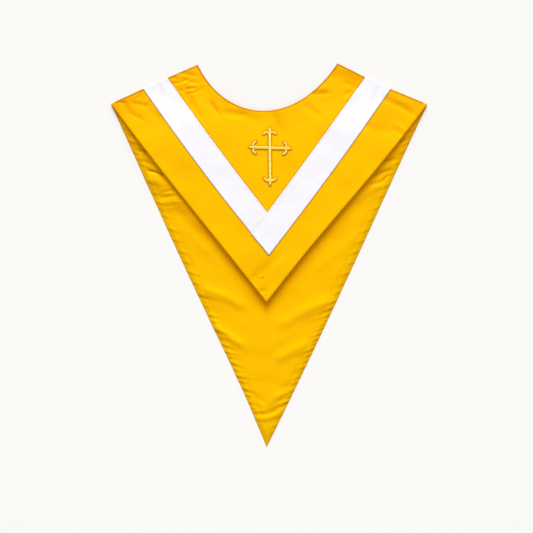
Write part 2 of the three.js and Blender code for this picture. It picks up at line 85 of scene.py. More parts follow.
def bowed(start: Array, end: Array, share: Array, outward: Array, side: Side) -> Array:
    """Points on a line that leaves the straight between its ends.

    Args:
        start: The line's first point.
        end: The line's last point.
        share: How far along each point is, from 0 to 1.
        outward: How far each point is from the straight, away from the middle of the stole.
        side: The side of the stole that the line is on.

    Returns:
        One point for each share.
    """
    run = end - start
    aside = np.array([-run[1], run[0]]) * side.value / np.hypot(*run)
    return start + share[:, None] * run + outward[:, None] * aside


def spaced(
    length: float, fine: float, coarse: float, growth: float, ends: tuple[bool, bool]
) -> Array:
    """Shares of a length, close together at the chosen ends and coarser between them.

    Args:
        length: The length that is divided.
        fine: The first step at a fine end.
        coarse: The largest step.
        growth: How much each step is longer than the last, going in from a fine end.
        ends: Whether the start and the finish are fine.

    Returns:
        Shares from 0 to 1, both included.
    """
    ramp = [0.0]
    step = fine
    while step < coarse and ramp[-1] + step < length / 2:
        ramp.append(ramp[-1] + step)
        step *= growth
    head = np.array(ramp) if ends[0] else np.array([0.0])
    tail = length - np.array(ramp[::-1]) if ends[1] else np.array([length])
    count = max(2, round((tail[0] - head[-1]) / coarse) + 1)
    middle = np.linspace(head[-1], tail[0], count)[1:-1]
    return np.concatenate([head, middle, tail]) / length


@dataclass(frozen=True)
class HalfCut:
    """One side of the laid stole: its corners, its neck arc and the bows of its long edges."""

    shoulder: tuple[float, float]
    neck_x: float
    neck_across: float
    neck_up: float
    shoulder_sag: float
    front_belly: float
    front_sway: float
    back_late: float
    back_belly: float
    band_start: dict[BandLine, float]
    band_belly: dict[BandLine, float]


@dataclass(frozen=True)
class Outline:
    """The laid stole's outline and the lines on it, seen from above."""

    neck_low: tuple[float, float] = (-9.4, 237.7)
    front_tip: tuple[float, float] = (-4.4, -76.8)
    back_tip: tuple[float, float] = (-4.1, -315.7)
    back_neck_drop: float = 2.2
    front_early: float = 0.8
    band_apex: dict[BandLine, tuple[float, float]] = field(
        default_factory=lambda: {BandLine.OUTER: (-0.3, 0.4), BandLine.INNER: (-3.0, 70.2)}
    )
    halves: dict[Side, HalfCut] = field(
        default_factory=lambda: {
            Side.LEFT: HalfCut(
                shoulder=(-260.5, 249.8),
                neck_x=-118.3,
                neck_across=123.8,
                neck_up=145.2,
                shoulder_sag=-0.8,
                front_belly=2.0,
                front_sway=0.4,
                back_late=3.4,
                back_belly=1.6,
                band_start={BandLine.OUTER: 0.372, BandLine.INNER: 0.653},
                band_belly={BandLine.OUTER: 3.7, BandLine.INNER: 1.9},
            ),
            Side.RIGHT: HalfCut(
                shoulder=(260.4, 249.0),
                neck_x=113.1,
                neck_across=181.5,
                neck_up=299.0,
                shoulder_sag=2.4,
                front_belly=0.9,
                front_sway=1.5,
                back_late=-1.3,
                back_belly=2.0,
                band_start={BandLine.OUTER: 0.41, BandLine.INNER: 0.692},
                band_belly={BandLine.OUTER: 2.9, BandLine.INNER: 0.6},
            ),
        }
    )

    def neck_rise(self, side: Side, x: Array) -> Array:
        """Height of the neckline above its lowest point.

        Args:
            side: The side of the stole.
            x: Places across.

        Returns:
            The height at each place.
        """
        half = self.halves[side]
        across = np.clip(np.abs(x - self.neck_low[0]) / half.neck_across, 0.0, 1.0)
        return half.neck_up * (1.0 - np.sqrt(1.0 - across**2))

    def neck_corner(self, side: Side) -> Array:
        """The corner where the neckline meets the shoulder."""
        x = self.halves[side].neck_x
        return np.array([x, self.neck_low[1] + float(self.neck_rise(side, np.array(x)))])

    def neck_line(self, side: Side, share: Array) -> Array:
        """The front's neckline, from the neck corner to its lowest point.

        Args:
            side: The side of the stole.
            share: How far along the line each point is, from 0 to 1.

        Returns:
            One point for each share.
        """
        half = self.halves[side]
        widest = math.asin(abs(half.neck_x - self.neck_low[0]) / half.neck_across)
        x = self.neck_low[0] + side.value * half.neck_across * np.sin(widest * (1.0 - share))
        return np.stack([x, self.neck_low[1] + self.neck_rise(side, x)], axis=-1)

    def back_neck_line(self, side: Side, share: Array) -> Array:
        """The back's neckline, a little lower than the front's in its middle.

        Args:
            side: The side of the stole.
            share: How far along the line each point is, from 0 to 1.

        Returns:
            One point for each share.
        """
        line = self.neck_line(side, share)
        low = self.neck_low[1]
        part = (line[:, 1] - low) / (self.neck_corner(side)[1] - low)
        line[:, 1] -= self.back_neck_drop * (1.0 - part)
        return line

    def shoulder_line(self, side: Side, share: Array) -> Array:
        """The shoulder seam, from its outer corner to the neck corner.

        Args:
            side: The side of the stole.
            share: How far along the line each point is, from 0 to 1.

        Returns:
            One point for each share.
        """
        start = np.array(self.halves[side].shoulder)
        line = start + share[:, None] * (self.neck_corner(side) - start)
        line[:, 1] -= self.halves[side].shoulder_sag * 4.0 * share * (1.0 - share)
        return line

    def front_edge(self, side: Side, share: Array) -> Array:
        """The front panel's long edge, from the shoulder to its point.

        Args:
            side: The side of the stole.
            share: How far along the line each point is, from 0 to 1.

        Returns:
            One point for each share.
        """
        half = self.halves[side]
        outward = half.front_belly * np.sin(math.pi * share**self.front_early)
        outward = outward + half.front_sway * np.sin(2.0 * math.pi * share)
        return bowed(np.array(half.shoulder), np.array(self.front_tip), share, outward, side)

    def band_side(self, line: BandLine, side: Side, share: Array) -> Array:
        """A long side of a trim band, from the shoulder to where it meets the other band's.

        Args:
            line: Which of the band's long sides.
            side: The side of the stole.
            share: How far along the line each point is, from 0 to 1.

        Returns:
            One point for each share.
        """
        half = self.halves[side]
        start = self.shoulder_line(side, np.array([half.band_start[line]]))[0]
        outward = half.band_belly[line] * np.sin(math.pi * share)
        return bowed(start, np.array(self.band_apex[line]), share, outward, side)

    def band_ring(self, side: Side, count: int = 50) -> Array:
        """Both long sides of a trim band, as one ring.

        Args:
            side: The side of the stole.
            count: How many points each side has.

        Returns:
            The ring's points, in order.
        """
        share = np.linspace(0.0, 1.0, count)
        outer = self.band_side(BandLine.OUTER, side, share)
        return np.concatenate([outer, self.band_side(BandLine.INNER, side, share[::-1])])

    def back_edge_x(self, side: Side, y: Array) -> Array:
        """Where the back panel's side seam is at a height.

        Args:
            side: The side of the stole.
            y: Places along.

        Returns:
            The seam's place across for each place along.
        """
        half = self.halves[side]
        share = np.clip((half.shoulder[1] - y) / (half.shoulder[1] - self.back_tip[1]), 0.0, 1.0)
        straight = half.shoulder[0] + share * (self.back_tip[0] - half.shoulder[0])
        inward = half.back_late * np.sin(math.pi * share**3)
        return straight - side.value * (inward - half.back_belly * np.sin(math.pi * share) ** 2)

    def back_edge(self, side: Side, share: Array) -> Array:
        """The back panel's side seam, from the shoulder to its point.

        Args:
            side: The side of the stole.
            share: How far along the line each point is, from 0 to 1.

        Returns:
            One point for each share.
        """
        top = self.halves[side].shoulder[1]
        y = top + share * (self.back_tip[1] - top)
        return np.stack([self.back_edge_x(side, y), y], axis=-1)

    def inside_line(self, start: Array, end: Array, side: Side, x: Array, y: Array) -> Array:
        """Distance from a straight line towards the middle of the stole.

        Args:
            start: The line's upper point.
            end: The line's lower point.
            side: The side of the stole that the line is on.
            x: Places across.
            y: Places along.

        Returns:
            The distance of each place, negative outside the line.
        """
        run = end - start
        right = (run[1] * (x - start[0]) - run[0] * (y - start[1])) / np.hypot(*run)
        return side.value * right

    def from_shoulder(self, x: Array, y: Array) -> Array:
        """Distance inside the nearer shoulder seam.

        Args:
            x: Places across.
            y: Places along.

        Returns:
            The distance of each place, negative outside.
        """
        found = []
        for side in Side:
            corner = np.array(self.halves[side].shoulder)
            found.append(-self.inside_line(corner, self.neck_corner(side), side, x, y))
        return np.minimum(*found)

    def from_front_edge(self, x: Array, y: Array) -> Array:
        """Distance inside the front panel's nearer long edge.

        Args:
            x: Places across.
            y: Places along.

        Returns:
            The distance of each place, negative outside.
        """
        tip = np.array(self.front_tip)
        found = [
            self.inside_line(np.array(self.halves[side].shoulder), tip, side, x, y) for side in Side
        ]
        return np.minimum(*found)

    def from_front_tip(self, x: Array, y: Array) -> Array:
        """Distance from the front panel's point."""
        return np.hypot(x - self.front_tip[0], y - self.front_tip[1])

    def from_neckline(self, x: Array, y: Array) -> Array:
        """Height of the neckline above a place.

        Args:
            x: Places across.
            y: Places along.

        Returns:
            The height for each place, negative above the neckline.
        """
        left = self.neck_rise(Side.LEFT, x)
        right = self.neck_rise(Side.RIGHT, x)
        rise = np.where(x < self.neck_low[0], left, right)
        return self.neck_low[1] + rise - y


@dataclass(frozen=True)
class Fold:
    """A soft ridge between two points, or a trough if its height is negative.

    Its middle may leave the straight by bend, to the left of its run, and it may die away faster
    or slower past its ends than by twice its width.
    """

    x1: float
    y1: float
    x2: float
    y2: float
    width: float
    height: float
    bend: float = 0.0
    fade: float = 2.0

    def height_at(self, x: Array, y: Array) -> Array:
        """The fold's height at places seen from above.

        Args:
            x: Places across.
            y: Places along.

        Returns:
            One height for each place.
        """
        run_x, run_y = self.x2 - self.x1, self.y2 - self.y1
        length = math.hypot(run_x, run_y)
        along = ((x - self.x1) * run_x + (y - self.y1) * run_y) / length
        aside = ((y - self.y1) * run_x - (x - self.x1) * run_y) / length
        share = np.clip(along / length, 0.0, 1.0)
        aside = aside - self.bend * 4.0 * share * (1.0 - share)
        past = np.maximum(0.0, np.maximum(-along, along - length))
        return self.height * bump(aside, self.width) * bump(past, self.fade * self.width)


@dataclass(frozen=True)
class Dent:
    """An oval swell, or a dent if its height is negative, turned by an angle in degrees."""

    x: float
    y: float
    length: float
    width: float
    turn: float
    height: float

    def height_at(self, x: Array, y: Array) -> Array:
        """The dent's height at places seen from above.

        Args:
            x: Places across.
            y: Places along.

        Returns:
            One height for each place.
        """
        cos, sin = math.cos(math.radians(self.turn)), math.sin(math.radians(self.turn))
        along = (x - self.x) * cos + (y - self.y) * sin
        aside = (y - self.y) * cos - (x - self.x) * sin
        return self.height * bump(along, self.length) * bump(aside, self.width)


@dataclass(frozen=True)
class Gather:
    """A small crease on a side seam of the back panel, with the puff above it.

    y is where the crease is on the seam, reach how far in it goes, width half the puff's width
    along the seam, puff its height, and rise how far its inner end lies above its outer end.
    """

    y: float
    reach: float
    width: float
    puff: float
    rise: float


def ripple(x: Array, y: Array, waves: tuple[tuple[float, float, float, float], ...]) -> Array:
    """Sum of slow waves across the cloth.

    Args:
        x: Places across.
        y: Places along.
        waves: For each wave its length, its direction in degrees, its start and its height.

    Returns:
        The height at each place.
    """
    total = np.zeros_like(x)
    for length, turn, start, height in waves:
        cos, sin = math.cos(math.radians(turn)), math.sin(math.radians(turn))
        total += height * np.sin(2.0 * math.pi * (x * cos + y * sin) / length + start)
    return total


def slope_away_from_light(height: Callable[[Array, Array], Array], x: Array, y: Array) -> Array:
    """How steeply a cloth faces its point, away from the head light; painted shade deepens such
    slopes.

    Args:
        height: The cloth's height at places.
        x: Places across.
        y: Places along.

    Returns:
        The slope at each place, negative where the cloth faces the neck.
    """
    reach = 0.8
    return (height(x, y + reach) - height(x, y - reach)) / (2.0 * reach)


# Slow waves of both panels: length, direction in degrees, start and height.
FRONT_WAVES = (
    (83.0, 12.0, 0.4, 0.10),
    (61.0, 71.0, 2.1, 0.08),
    (47.0, 128.0, 4.0, 0.05),
    (35.0, 40.0, 1.3, 0.03),
)
BACK_WAVES = (
    (71.0, 80.0, 0.9, 0.12),
    (43.0, 101.0, 3.1, 0.07),
    (57.0, 28.0, 5.0, 0.07),
    (29.0, 66.0, 2.2, 0.03),
)


@dataclass(frozen=True)
class StitchedRun:
    """A line of satin stitch: places along its middle, with the half width at each."""

    middle: Array
    half_width: Array
    crown: float
    gap: float


@dataclass(frozen=True)
class CrossPlan:
    """Where the embroidered cross lies: bars with spear ends, and hooks behind each end."""

    tips: dict[str, tuple[float, float]] = field(
        default_factory=lambda: {
            "top": (0.7, 211.6),
            "bottom": (1.6, 113.6),
            "left": (-34.1, 177.8),
            "right": (37.6, 175.6),
        }
    )
    bar_half: float = 2.5
    bar_tip_half: float = 0.45
    spear: float = 10.0
    hook_from_tip: dict[str, float] = field(
        default_factory=lambda: {"top": 11.6, "bottom": 11.6, "left": 9.8, "right": 11.4}
    )
    hook_curl: dict[str, float] = field(
        default_factory=lambda: {"top": 1.4, "bottom": 3.2, "left": 3.6, "right": 3.8}
    )
    hook_reach: float = 10.8
    hook_bulge: float = 3.0
    hook_half: float = 1.85
    hook_taper: float = 0.96
    hook_crown: float = 0.7
    arms_crown: float = 0.8
    upright_crown: float = 1.0
    gap: float = 0.1
    middle: tuple[float, float] = (1.2, 166.0)
    reach: float = 60.0

    def bar(self, start: str, end: str, crown: float) -> StitchedRun:
        """A straight bar between two tips, with a spear at each end.

        Args:
            start: The first tip.
            end: The last tip.
            crown: How far its middle is raised.

        Returns:
            The bar's run.
        """
        first, last = np.array(self.tips[start]), np.array(self.tips[end])
        length = float(np.hypot(*(last - first)))
        distance = np.linspace(0.0, length, 200)
        near_tip = np.minimum(1.0, np.minimum(distance, length - distance) / self.spear)
        full = 1.0 - (1.0 - near_tip) ** 2
        half = self.bar_tip_half + (self.bar_half - self.bar_tip_half) * full
        middle = first + (distance / length)[:, None] * (last - first)
        return StitchedRun(middle, half, crown, self.gap)

    def hook(self, tip: str, opposite: str, hand: int) -> StitchedRun:
        """A hook that leaves a bar behind its spear and curls back towards the crossing.

        Args:
            tip: The tip of the bar that the hook is on.
            opposite: The bar's other tip.
            hand: 1 for the hook to the left of the way out to the tip, -1 for the other.

        Returns:
            The hook's run.
        """
        end, far = np.array(self.tips[tip]), np.array(self.tips[opposite])
        outward = (end - far) / np.hypot(*(end - far))
        aside = np.array([-outward[1], outward[0]]) * hand
        share = np.linspace(0.0, 1.0, 60)
        forward = self.hook_bulge * np.sin(math.pi * share) - self.hook_curl[tip] * share**2
        forward = forward - self.hook_from_tip[tip]
        middle = end + forward[:, None] * outward + (self.hook_reach * share)[:, None] * aside
        half = self.hook_half * np.sqrt(1.0 - self.hook_taper * share**10)
        return StitchedRun(middle, half, self.hook_crown, self.gap)

    def runs(self) -> list[StitchedRun]:
        """All the runs, those that lie underneath first.

        Returns:
            The hooks, the arms and the upright.
        """
        pairs = (("top", "bottom"), ("bottom", "top"), ("left", "right"), ("right", "left"))
        hooks = [self.hook(tip, far, hand) for tip, far in pairs for hand in (-1, 1)]
        return [
            *hooks,
            self.bar("left", "right", self.arms_crown),
            self.bar("bottom", "top", self.upright_crown),
        ]

    def outside(self, x: Array, y: Array) -> Array:
        """Distance of places outside the stitching, far ones only roughly.

        Args:
            x: Places across.
            y: Places along.

        Returns:
            One distance for each place, 0 on the stitching.
        """
        places = np.column_stack([x, y])
        nearest = np.full(len(places), self.reach)
        close = np.hypot(x - self.middle[0], y - self.middle[1]) < self.reach
        every = 4
        for run in self.runs():
            away = places[close][:, None, :] - run.middle[::every][None, :, :]
            found = np.sqrt((away**2).sum(axis=2)) - run.half_width[::every]
            nearest[close] = np.minimum(nearest[close], found.min(axis=1))
        return np.maximum(0.0, nearest)


@dataclass(frozen=True)
class FrontLie:
    """How the front panel lies over the back, and what shows on its face."""

    outline: Outline
    cross: CrossPlan = CrossPlan()
    wall: float = 1.5
    seam_gap: float = 0.3
    loft: float = 5.6
    loft_at_neck: float = 0.74
    tip_rest: float = 5.0
    shoulder_run: float = 105.0
    tip_run: float = 90.0
    neck_run: float = 90.0
    relief: float = 1.05
    # base_shade evenly deepens the face and caps the painted highlight; the other shades are
    # painted shade.
    base_shade: float = 0.13
    painted_slope_shade: float = 1.3
    painted_crease_shade: float = 0.3
    painted_hem_shade: float = 0.05
    painted_rim_shade: float = 1.0
    rim_start: float = 0.8
    rim_width: float = 2.4
    hem_run: tuple[float, float] = (3.0, 9.0)
    deepest_crease: float = 0.5
    steepest: float = 0.3
    painted_shoulder_shade: float = 0.14
    painted_band_shadow: float = 1.0
    band_width: float = 1.3
    painted_cross_shadow: float = 0.9
    cross_width: float = 1.5
    swells: tuple[Dent, ...] = (
        Dent(-142, 283, 34, 13, 12, -0.5),
        Dent(-208, 262, 30, 13, 30, -0.45),
        Dent(-190, 236, 26, 14, 24, 0.4),
        Dent(-120, 262, 30, 15, 10, 0.4),
        Dent(92, 262, 30, 15, -30, -0.4),
        Dent(196, 214, 30, 14, -35, -0.5),
        Dent(222, 243, 24, 13, -20, 0.45),
        Dent(2, -18, 26, 14, 70, -0.4),
        Dent(-160, 124, 62, 34, -52, -0.7),
    )

    def under(self, x: Array, y: Array) -> Array:
        """Height of the panel's under face.

        Args:
            x: Places across.
            y: Places along.

        Returns:
            One height for each place.
        """
        line = self.outline
        seam = smoothstep(line.from_shoulder(x, y), 0.0, self.shoulder_run)
        tip = smoothstep(line.from_front_tip(x, y), 0.0, self.tip_run)
        neck = smoothstep(line.from_neckline(x, y), 0.0, self.neck_run)
        loft = self.loft * (self.loft_at_neck + (1.0 - self.loft_at_neck) * neck)
        swell = sum(dent.height_at(x, y) for dent in self.swells)
        raised = self.tip_rest * (1.0 - tip) + tip * (loft + swell)
        return self.wall + self.seam_gap + seam * raised

    def crumple(self, x: Array, y: Array) -> Array:
        """Height of the small folds that show on the face.

        Args:
            x: Places across.
            y: Places along.

        Returns:
            One height for each place.
        """
        total = ripple(x, y, FRONT_WAVES)
        for form in (*FRONT_FOLDS, *FRONT_DENTS):
            total = total + form.height_at(x, y)
        return total * self.relief

    def top(self, x: Array, y: Array) -> Array:
        """Height of the panel's face, without the roll of its edge."""
        return self.under(x, y) + self.wall + self.crumple(x, y)

    def shade(self, x: Array, y: Array, inside: Array) -> Array:
        """Painted shade on the gold: creases, slopes, rolled edges, shoulders, trim bands and
        cross.

        Args:
            x: Places across.
            y: Places along.
            inside: How far inside the piece's edge the places are.

        Returns:
            One depth of painted shade for each place, 0 where the gold is palest.
        """
        # Painted shade on slopes that face away from the head light, painted highlight on those
        # that face it.
        slope = slope_away_from_light(self.crumple, x, y) * self.painted_slope_shade
        # Painted shade in the troughs of the creases.
        crease = np.clip(-self.crumple(x, y) * self.painted_crease_shade, 0.0, self.deepest_crease)
        # Painted shade along the rolled edges: faint at the hem, strong at the neck and shoulder
        # seams.
        seam = smoothstep(self.outline.from_front_edge(x, y), *self.hem_run)
        rim = self.painted_hem_shade + (self.painted_rim_shade - self.painted_hem_shade) * seam
        # Painted shadow on the gold beside the trim bands, together with their seam line.
        places = np.column_stack([x, y])
        band = np.minimum(*(ring_distance(places, self.outline.band_ring(side)) for side in Side))
        # Painted shade towards the shoulder seams.
        shoulder = 1.0 - smoothstep(self.outline.from_shoulder(x, y), 0.0, self.shoulder_run)
        return (
            self.base_shade
            + crease
            + np.clip(slope, -self.base_shade, self.steepest)
            + self.painted_shoulder_shade * shoulder
            + rim * (1.0 - smoothstep(inside, self.rim_start, self.rim_width))
            + self.painted_band_shadow * bump(band, self.band_width)
            # Painted shadow round the embroidered cross.
            + self.painted_cross_shadow * bump(self.cross.outside(x, y), self.cross_width)
        )


# The front's creases: at the left of the yoke and the neckline, at the left shoulder, at the
# right shoulder and along the right of the neckline.
FRONT_FOLDS = (
    Fold(-156, 284, -139, 289, 2.4, -0.34, bend=-2.0),
    Fold(-152, 278, -140, 284, 3.0, 0.20, bend=1.5),
    Fold(-136, 288, -115, 282, 3.4, -0.25),
    Fold(-146, 301, -124, 297, 3.4, -0.34),
    Fold(-144, 276, -138, 285, 2.4, 0.14),
    Fold(-134, 275, -126, 276, 2.2, -0.27),
    Fold(-132, 267, -115, 273, 2.4, -0.29, bend=-2.0),
    Fold(-128, 280, -112, 281, 3.2, 0.32),
    Fold(-137, 270, -136, 262, 2.6, -0.22),
    Fold(-129, 257, -116, 234, 5.5, -0.50, bend=-1.5),
    Fold(-93, 247, -87, 238, 4.2, -0.60),
    Fold(-64, 235, -50, 233, 6.5, -0.66),
    Fold(-69, 251, -58, 247, 4.5, -0.28),
    Fold(11, 226, 15, 215, 6.0, -0.42),
    Fold(-38, 230, -19, 223, 7.0, -0.22),
    Fold(12, -5, -24, -36, 8.0, -0.42),
    Fold(-214, 263, -212, 268, 3.2, -0.55),
    Fold(-245, 252, -240, 252, 2.6, -0.40),
    Fold(-236, 246, -214, 227, 4.2, -0.40, bend=-3.5),
    Fold(-218, 250, -204, 247, 4.0, -0.50),
    Fold(-206, 251, -198, 259, 3.0, 0.30),
    Fold(-192, 235, -181, 227, 6.0, -0.30),
    Fold(194, 257, 233, 236, 5.5, -0.60, bend=1.0),
    Fold(214, 256, 225, 252, 5.0, 0.35),
    Fold(168, 212, 188, 206, 7.5, -0.35),
    Fold(212, 215, 223, 207, 2.4, 0.35),
    Fold(208, 206, 216, 201, 4.0, -0.30),
    Fold(112, 297, 140, 288, 10.0, -0.45),
    Fold(132, 282, 141, 278, 5.0, -0.40),
    Fold(72, 266, 92, 267, 3.6, -0.38),
    Fold(76, 276, 92, 276, 4.5, 0.30),
    Fold(66, 244, 76, 236, 6.0, -0.45),
    Fold(133, 269, 131, 268, 4.0, -0.45),
    Fold(50, 232, 52, 224, 7.0, -0.25),
)
FRONT_DENTS = (
    Dent(-10.5, -38.5, 3.0, 2.2, 30, -0.46),
    Dent(-12.4, -35.2, 2.6, 1.8, 30, 0.32),
    Dent(-9.8, -58.6, 5.0, 3.4, 20, -0.50),
    Dent(-157, 293, 2.6, 3.0, 0, -0.30),
    Dent(-152, 291, 3.4, 3.0, 0, -0.26),
    Dent(-152, 277, 3.0, 2.6, 40, -0.24),
    Dent(-146, 272, 3.4, 3.0, 60, -0.42),
    Dent(-134, 274, 2.8, 2.8, 0, -0.26),
)


@dataclass(frozen=True)
class BackLie:
    """How the back panel lies on the surface, and what shows on its upper face."""

    outline: Outline
    wall: float = 1.5
    bare_outside: float = 12.0
    bare_inside: float = 26.0
    flat_at_shoulder: tuple[float, float] = (20.0, 60.0)
    flat_at_tip: tuple[float, float] = (8.0, 40.0)
    crease_width: float = 0.5
    crease_depth: float = 0.8
    puff_above: float = 1.5
    longest_gather: float = 60.0
    at_seam: float = 0.35
    fold_relief: float = 0.6
    gather_relief: float = 0.52
    pressed: float = 3.0
    deepest: float = 0.9
    puff: float = 1.1
    puff_run: float = 22.0
    # base_shade is the back's own deeper tone and caps the painted highlight; the other shades are
    # painted shade.
    base_shade: float = 0.15
    painted_slope_shade: float = 1.5
    painted_crease_shade: float = 0.2
    deepest_crease: float = 0.5
    steepest: float = 0.35
    painted_rim_shade: float = 0.25
    rim_start: float = 0.4
    rim_width: float = 1.8
    painted_hem_shade: float = 0.4
    hem_reach: float = 14.0

    def gathers(self, x: Array, y: Array) -> Array:
        """Height of the puckers along the side seams.

        Args:
            x: Places across.
            y: Places along.

        Returns:
            One height for each place.
        """
        total = np.zeros_like(x)
        for side in Side:
            inward = np.maximum(0.0, side.value * (self.outline.back_edge_x(side, y) - x))
            near = inward < self.longest_gather
            depth, height = inward[near], y[near]
            found = np.zeros_like(depth)
            for gather in BACK_GATHERS[side]:
                along = height - gather.y - gather.rise * depth / gather.reach
                puff = bump(along - self.puff_above * gather.width, gather.width)
                crease = self.crease_depth * bump(along, gather.width * self.crease_width)
                found += gather.puff * (puff - crease) * bump(depth, gather.reach)
            free = smoothstep(depth, 0.0, self.pressed)
            total[near] += found * (self.at_seam + (1.0 - self.at_seam) * free)
        return total

    def folds(self, x: Array, y: Array) -> Array:
        """Height of the longer folds where the panel is bare.

        Args:
            x: Places across.
            y: Places along.

        Returns:
            One height for each place.
        """
        total = ripple(x, y, BACK_WAVES)
        for fold in BACK_FOLDS:
            total = total + fold.height_at(x, y)
        return total

    def bare(self, x: Array, y: Array) -> Array:
        """How free the panel is to fold at places, 0 where something holds it flat.

        Args:
            x: Places across.
            y: Places along.

        Returns:
            One share for each place, from 0 to 1.
        """
        line = self.outline
        bare = 1.0 - smoothstep(line.from_front_edge(x, y), -self.bare_outside, self.bare_inside)
        seam = smoothstep(line.from_shoulder(x, y), *self.flat_at_shoulder)
        return bare * seam * smoothstep(line.from_front_tip(x, y), *self.flat_at_tip)

    def crumple(self, x: Array, y: Array) -> Array:
        """Height of all the folds that show."""
        folds = self.fold_relief * self.folds(x, y)
        return self.bare(x, y) * (folds + self.gather_relief * self.gathers(x, y))

    def under(self, x: Array, y: Array) -> Array:
        """Height of the panel's under face, which lies on the surface."""
        return np.zeros_like(x)

    def top(self, x: Array, y: Array) -> Array:
        """Height of the panel's upper face, without the roll of its edge.

        Args:
            x: Places across.
            y: Places along.

        Returns:
            One height for each place.
        """
        edges = {side: self.outline.back_edge_x(side, y) for side in Side}
        inward = np.minimum(*(side.value * (edge - x) for side, edge in edges.items()))
        puffed = self.bare(x, y) * self.puff * smoothstep(inward, 0.0, self.puff_run)
        raised = self.crumple(x, y) + puffed
        low = -self.deepest * np.tanh(-raised / self.deepest)
        return self.wall + np.where(raised < 0.0, low, raised)

    def shade(self, x: Array, y: Array, inside: Array) -> Array:
        """Painted shade on the gold: creases, slopes, rolled side seams and the front hem's shadow.

        Args:
            x: Places across.
            y: Places along.
            inside: How far inside the piece's edge the places are.

        Returns:
            One depth for each place: the back's own tone plus painted shade, 0 where the gold is
                palest.
        """
        # Painted shade on slopes that face away from the head light, painted highlight on those
        # that face it.
        slope = slope_away_from_light(self.crumple, x, y) * self.painted_slope_shade
        # Painted shade in the troughs of the creases.
        crease = np.clip(-self.crumple(x, y) * self.painted_crease_shade, 0.0, self.deepest_crease)
        # Painted shade along the rolled side seams.
        rim = self.painted_rim_shade * (1.0 - smoothstep(inside, self.rim_start, self.rim_width))
        # Painted shadow cast by the front panel's hem on the back beside it.
        outside = np.maximum(0.0, -self.outline.from_front_edge(x, y))
        hem = self.painted_hem_shade * bump(outside, self.hem_reach)
        facing = np.clip(slope, -self.base_shade, self.steepest)
        return self.base_shade + crease + rim + hem + facing


# The back's folds: the long ones below the front's point, those towards the back's point, and
# those of the narrow strips that show beside the front panel.
BACK_FOLDS = (
    Fold(-98, -60, -51, -80, 8.0, 1.3, bend=2.0),
    Fold(-100, -80, -66, -112, 9.5, -0.25),
    Fold(-83, -121, -51, -144, 6.5, 1.3, bend=-1.0),
    Fold(-78, -141, -56, -154, 6.5, -0.2),
    Fold(89, -80, 31, -109, 9.0, 1.3, bend=-2.0),
    Fold(87, -100, 34, -137, 9.0, -0.3, bend=2.0),
    Fold(53, -152, 24, -165, 8.0, 1.25),
    Fold(38, -130, 6, -150, 9.0, 0.35),
    Fold(30, -215, -32, -208, 9.0, -0.25),
    Fold(-38, -226, -11, -241, 4.0, -0.45, bend=2.0),
    Fold(10, -237, -6, -246, 8.0, 0.55),
    Fold(-19, -251, -18, -252, 4.0, -0.45),
    Fold(-24, -257.5, -11, -257.5, 2.6, 0.75),
    Fold(-14, -262, 4, -259, 4.4, -0.75, bend=-2.0),
    Fold(4, -259, 18, -252, 3.6, -0.60),
    Fold(-19, -269.5, 19, -259.5, 3.4, 0.95, bend=-2.6),
    Fold(-4, -277, 14, -271, 4.4, -0.35),
    Fold(15, -247, 29, -242, 1.5, 0.75),
    Fold(14.5, -249.8, 26.5, -245.2, 1.2, -0.50),
    Fold(27, -233, 18, -240, 2.6, -0.60),
    Fold(26, -229, 14, -232, 3.6, 0.45),
    Fold(32, -226, 23, -227, 1.8, -0.35),
    Fold(30, -215, 22, -219, 3.4, -0.35),
    Fold(-226, 196, -214, 190, 3.4, -0.80),
    Fold(-222, 188, -208, 186, 4.0, 0.80),
    Fold(-213, 172, -203, 170, 3.0, -1.10),
    Fold(-212, 160, -196, 156, 4.0, 0.90, bend=1.5),
    Fold(-196, 138.5, -178, 132, 2.2, -1.90, bend=1.0),
    Fold(-200, 147, -182, 140, 4.5, 0.80),
    Fold(-190, 124, -172, 118, 5.0, 0.50),
    Fold(-171, 104, -158, 108, 3.0, -0.80),
    Fold(-171, 96, -158, 98, 3.4, -0.90),
    Fold(-171, 102, -162, 102, 2.0, 0.30),
    Fold(-171, 87, -140, 89, 4.4, 0.70),
    Fold(-166, 77.5, -148, 81, 1.8, 0.30),
    Fold(-184, 122, -120, 60, 12.0, 2.20),
    Fold(-171, 69, -136, 66, 7.0, -0.30),
    Fold(222, 188, 214, 184, 3.4, -0.90),
    Fold(190, 156, 204, 158, 3.4, -0.80, bend=-2.0),
    Fold(192, 143, 204, 144, 4.5, 0.60),
    Fold(178, 131, 199, 140, 3.4, -0.90, bend=1.5),
    Fold(172, 118, 194, 130, 3.0, -0.90, bend=-2.5),
    Fold(184, 124, 192, 130, 2.8, 0.45),
    Fold(150, 96, 176, 112, 6.0, 0.60),
    Fold(132, 22, 86, -16, 9.0, 0.55),
    Fold(-128, 34, -92, -6, 9.0, 0.55),
)
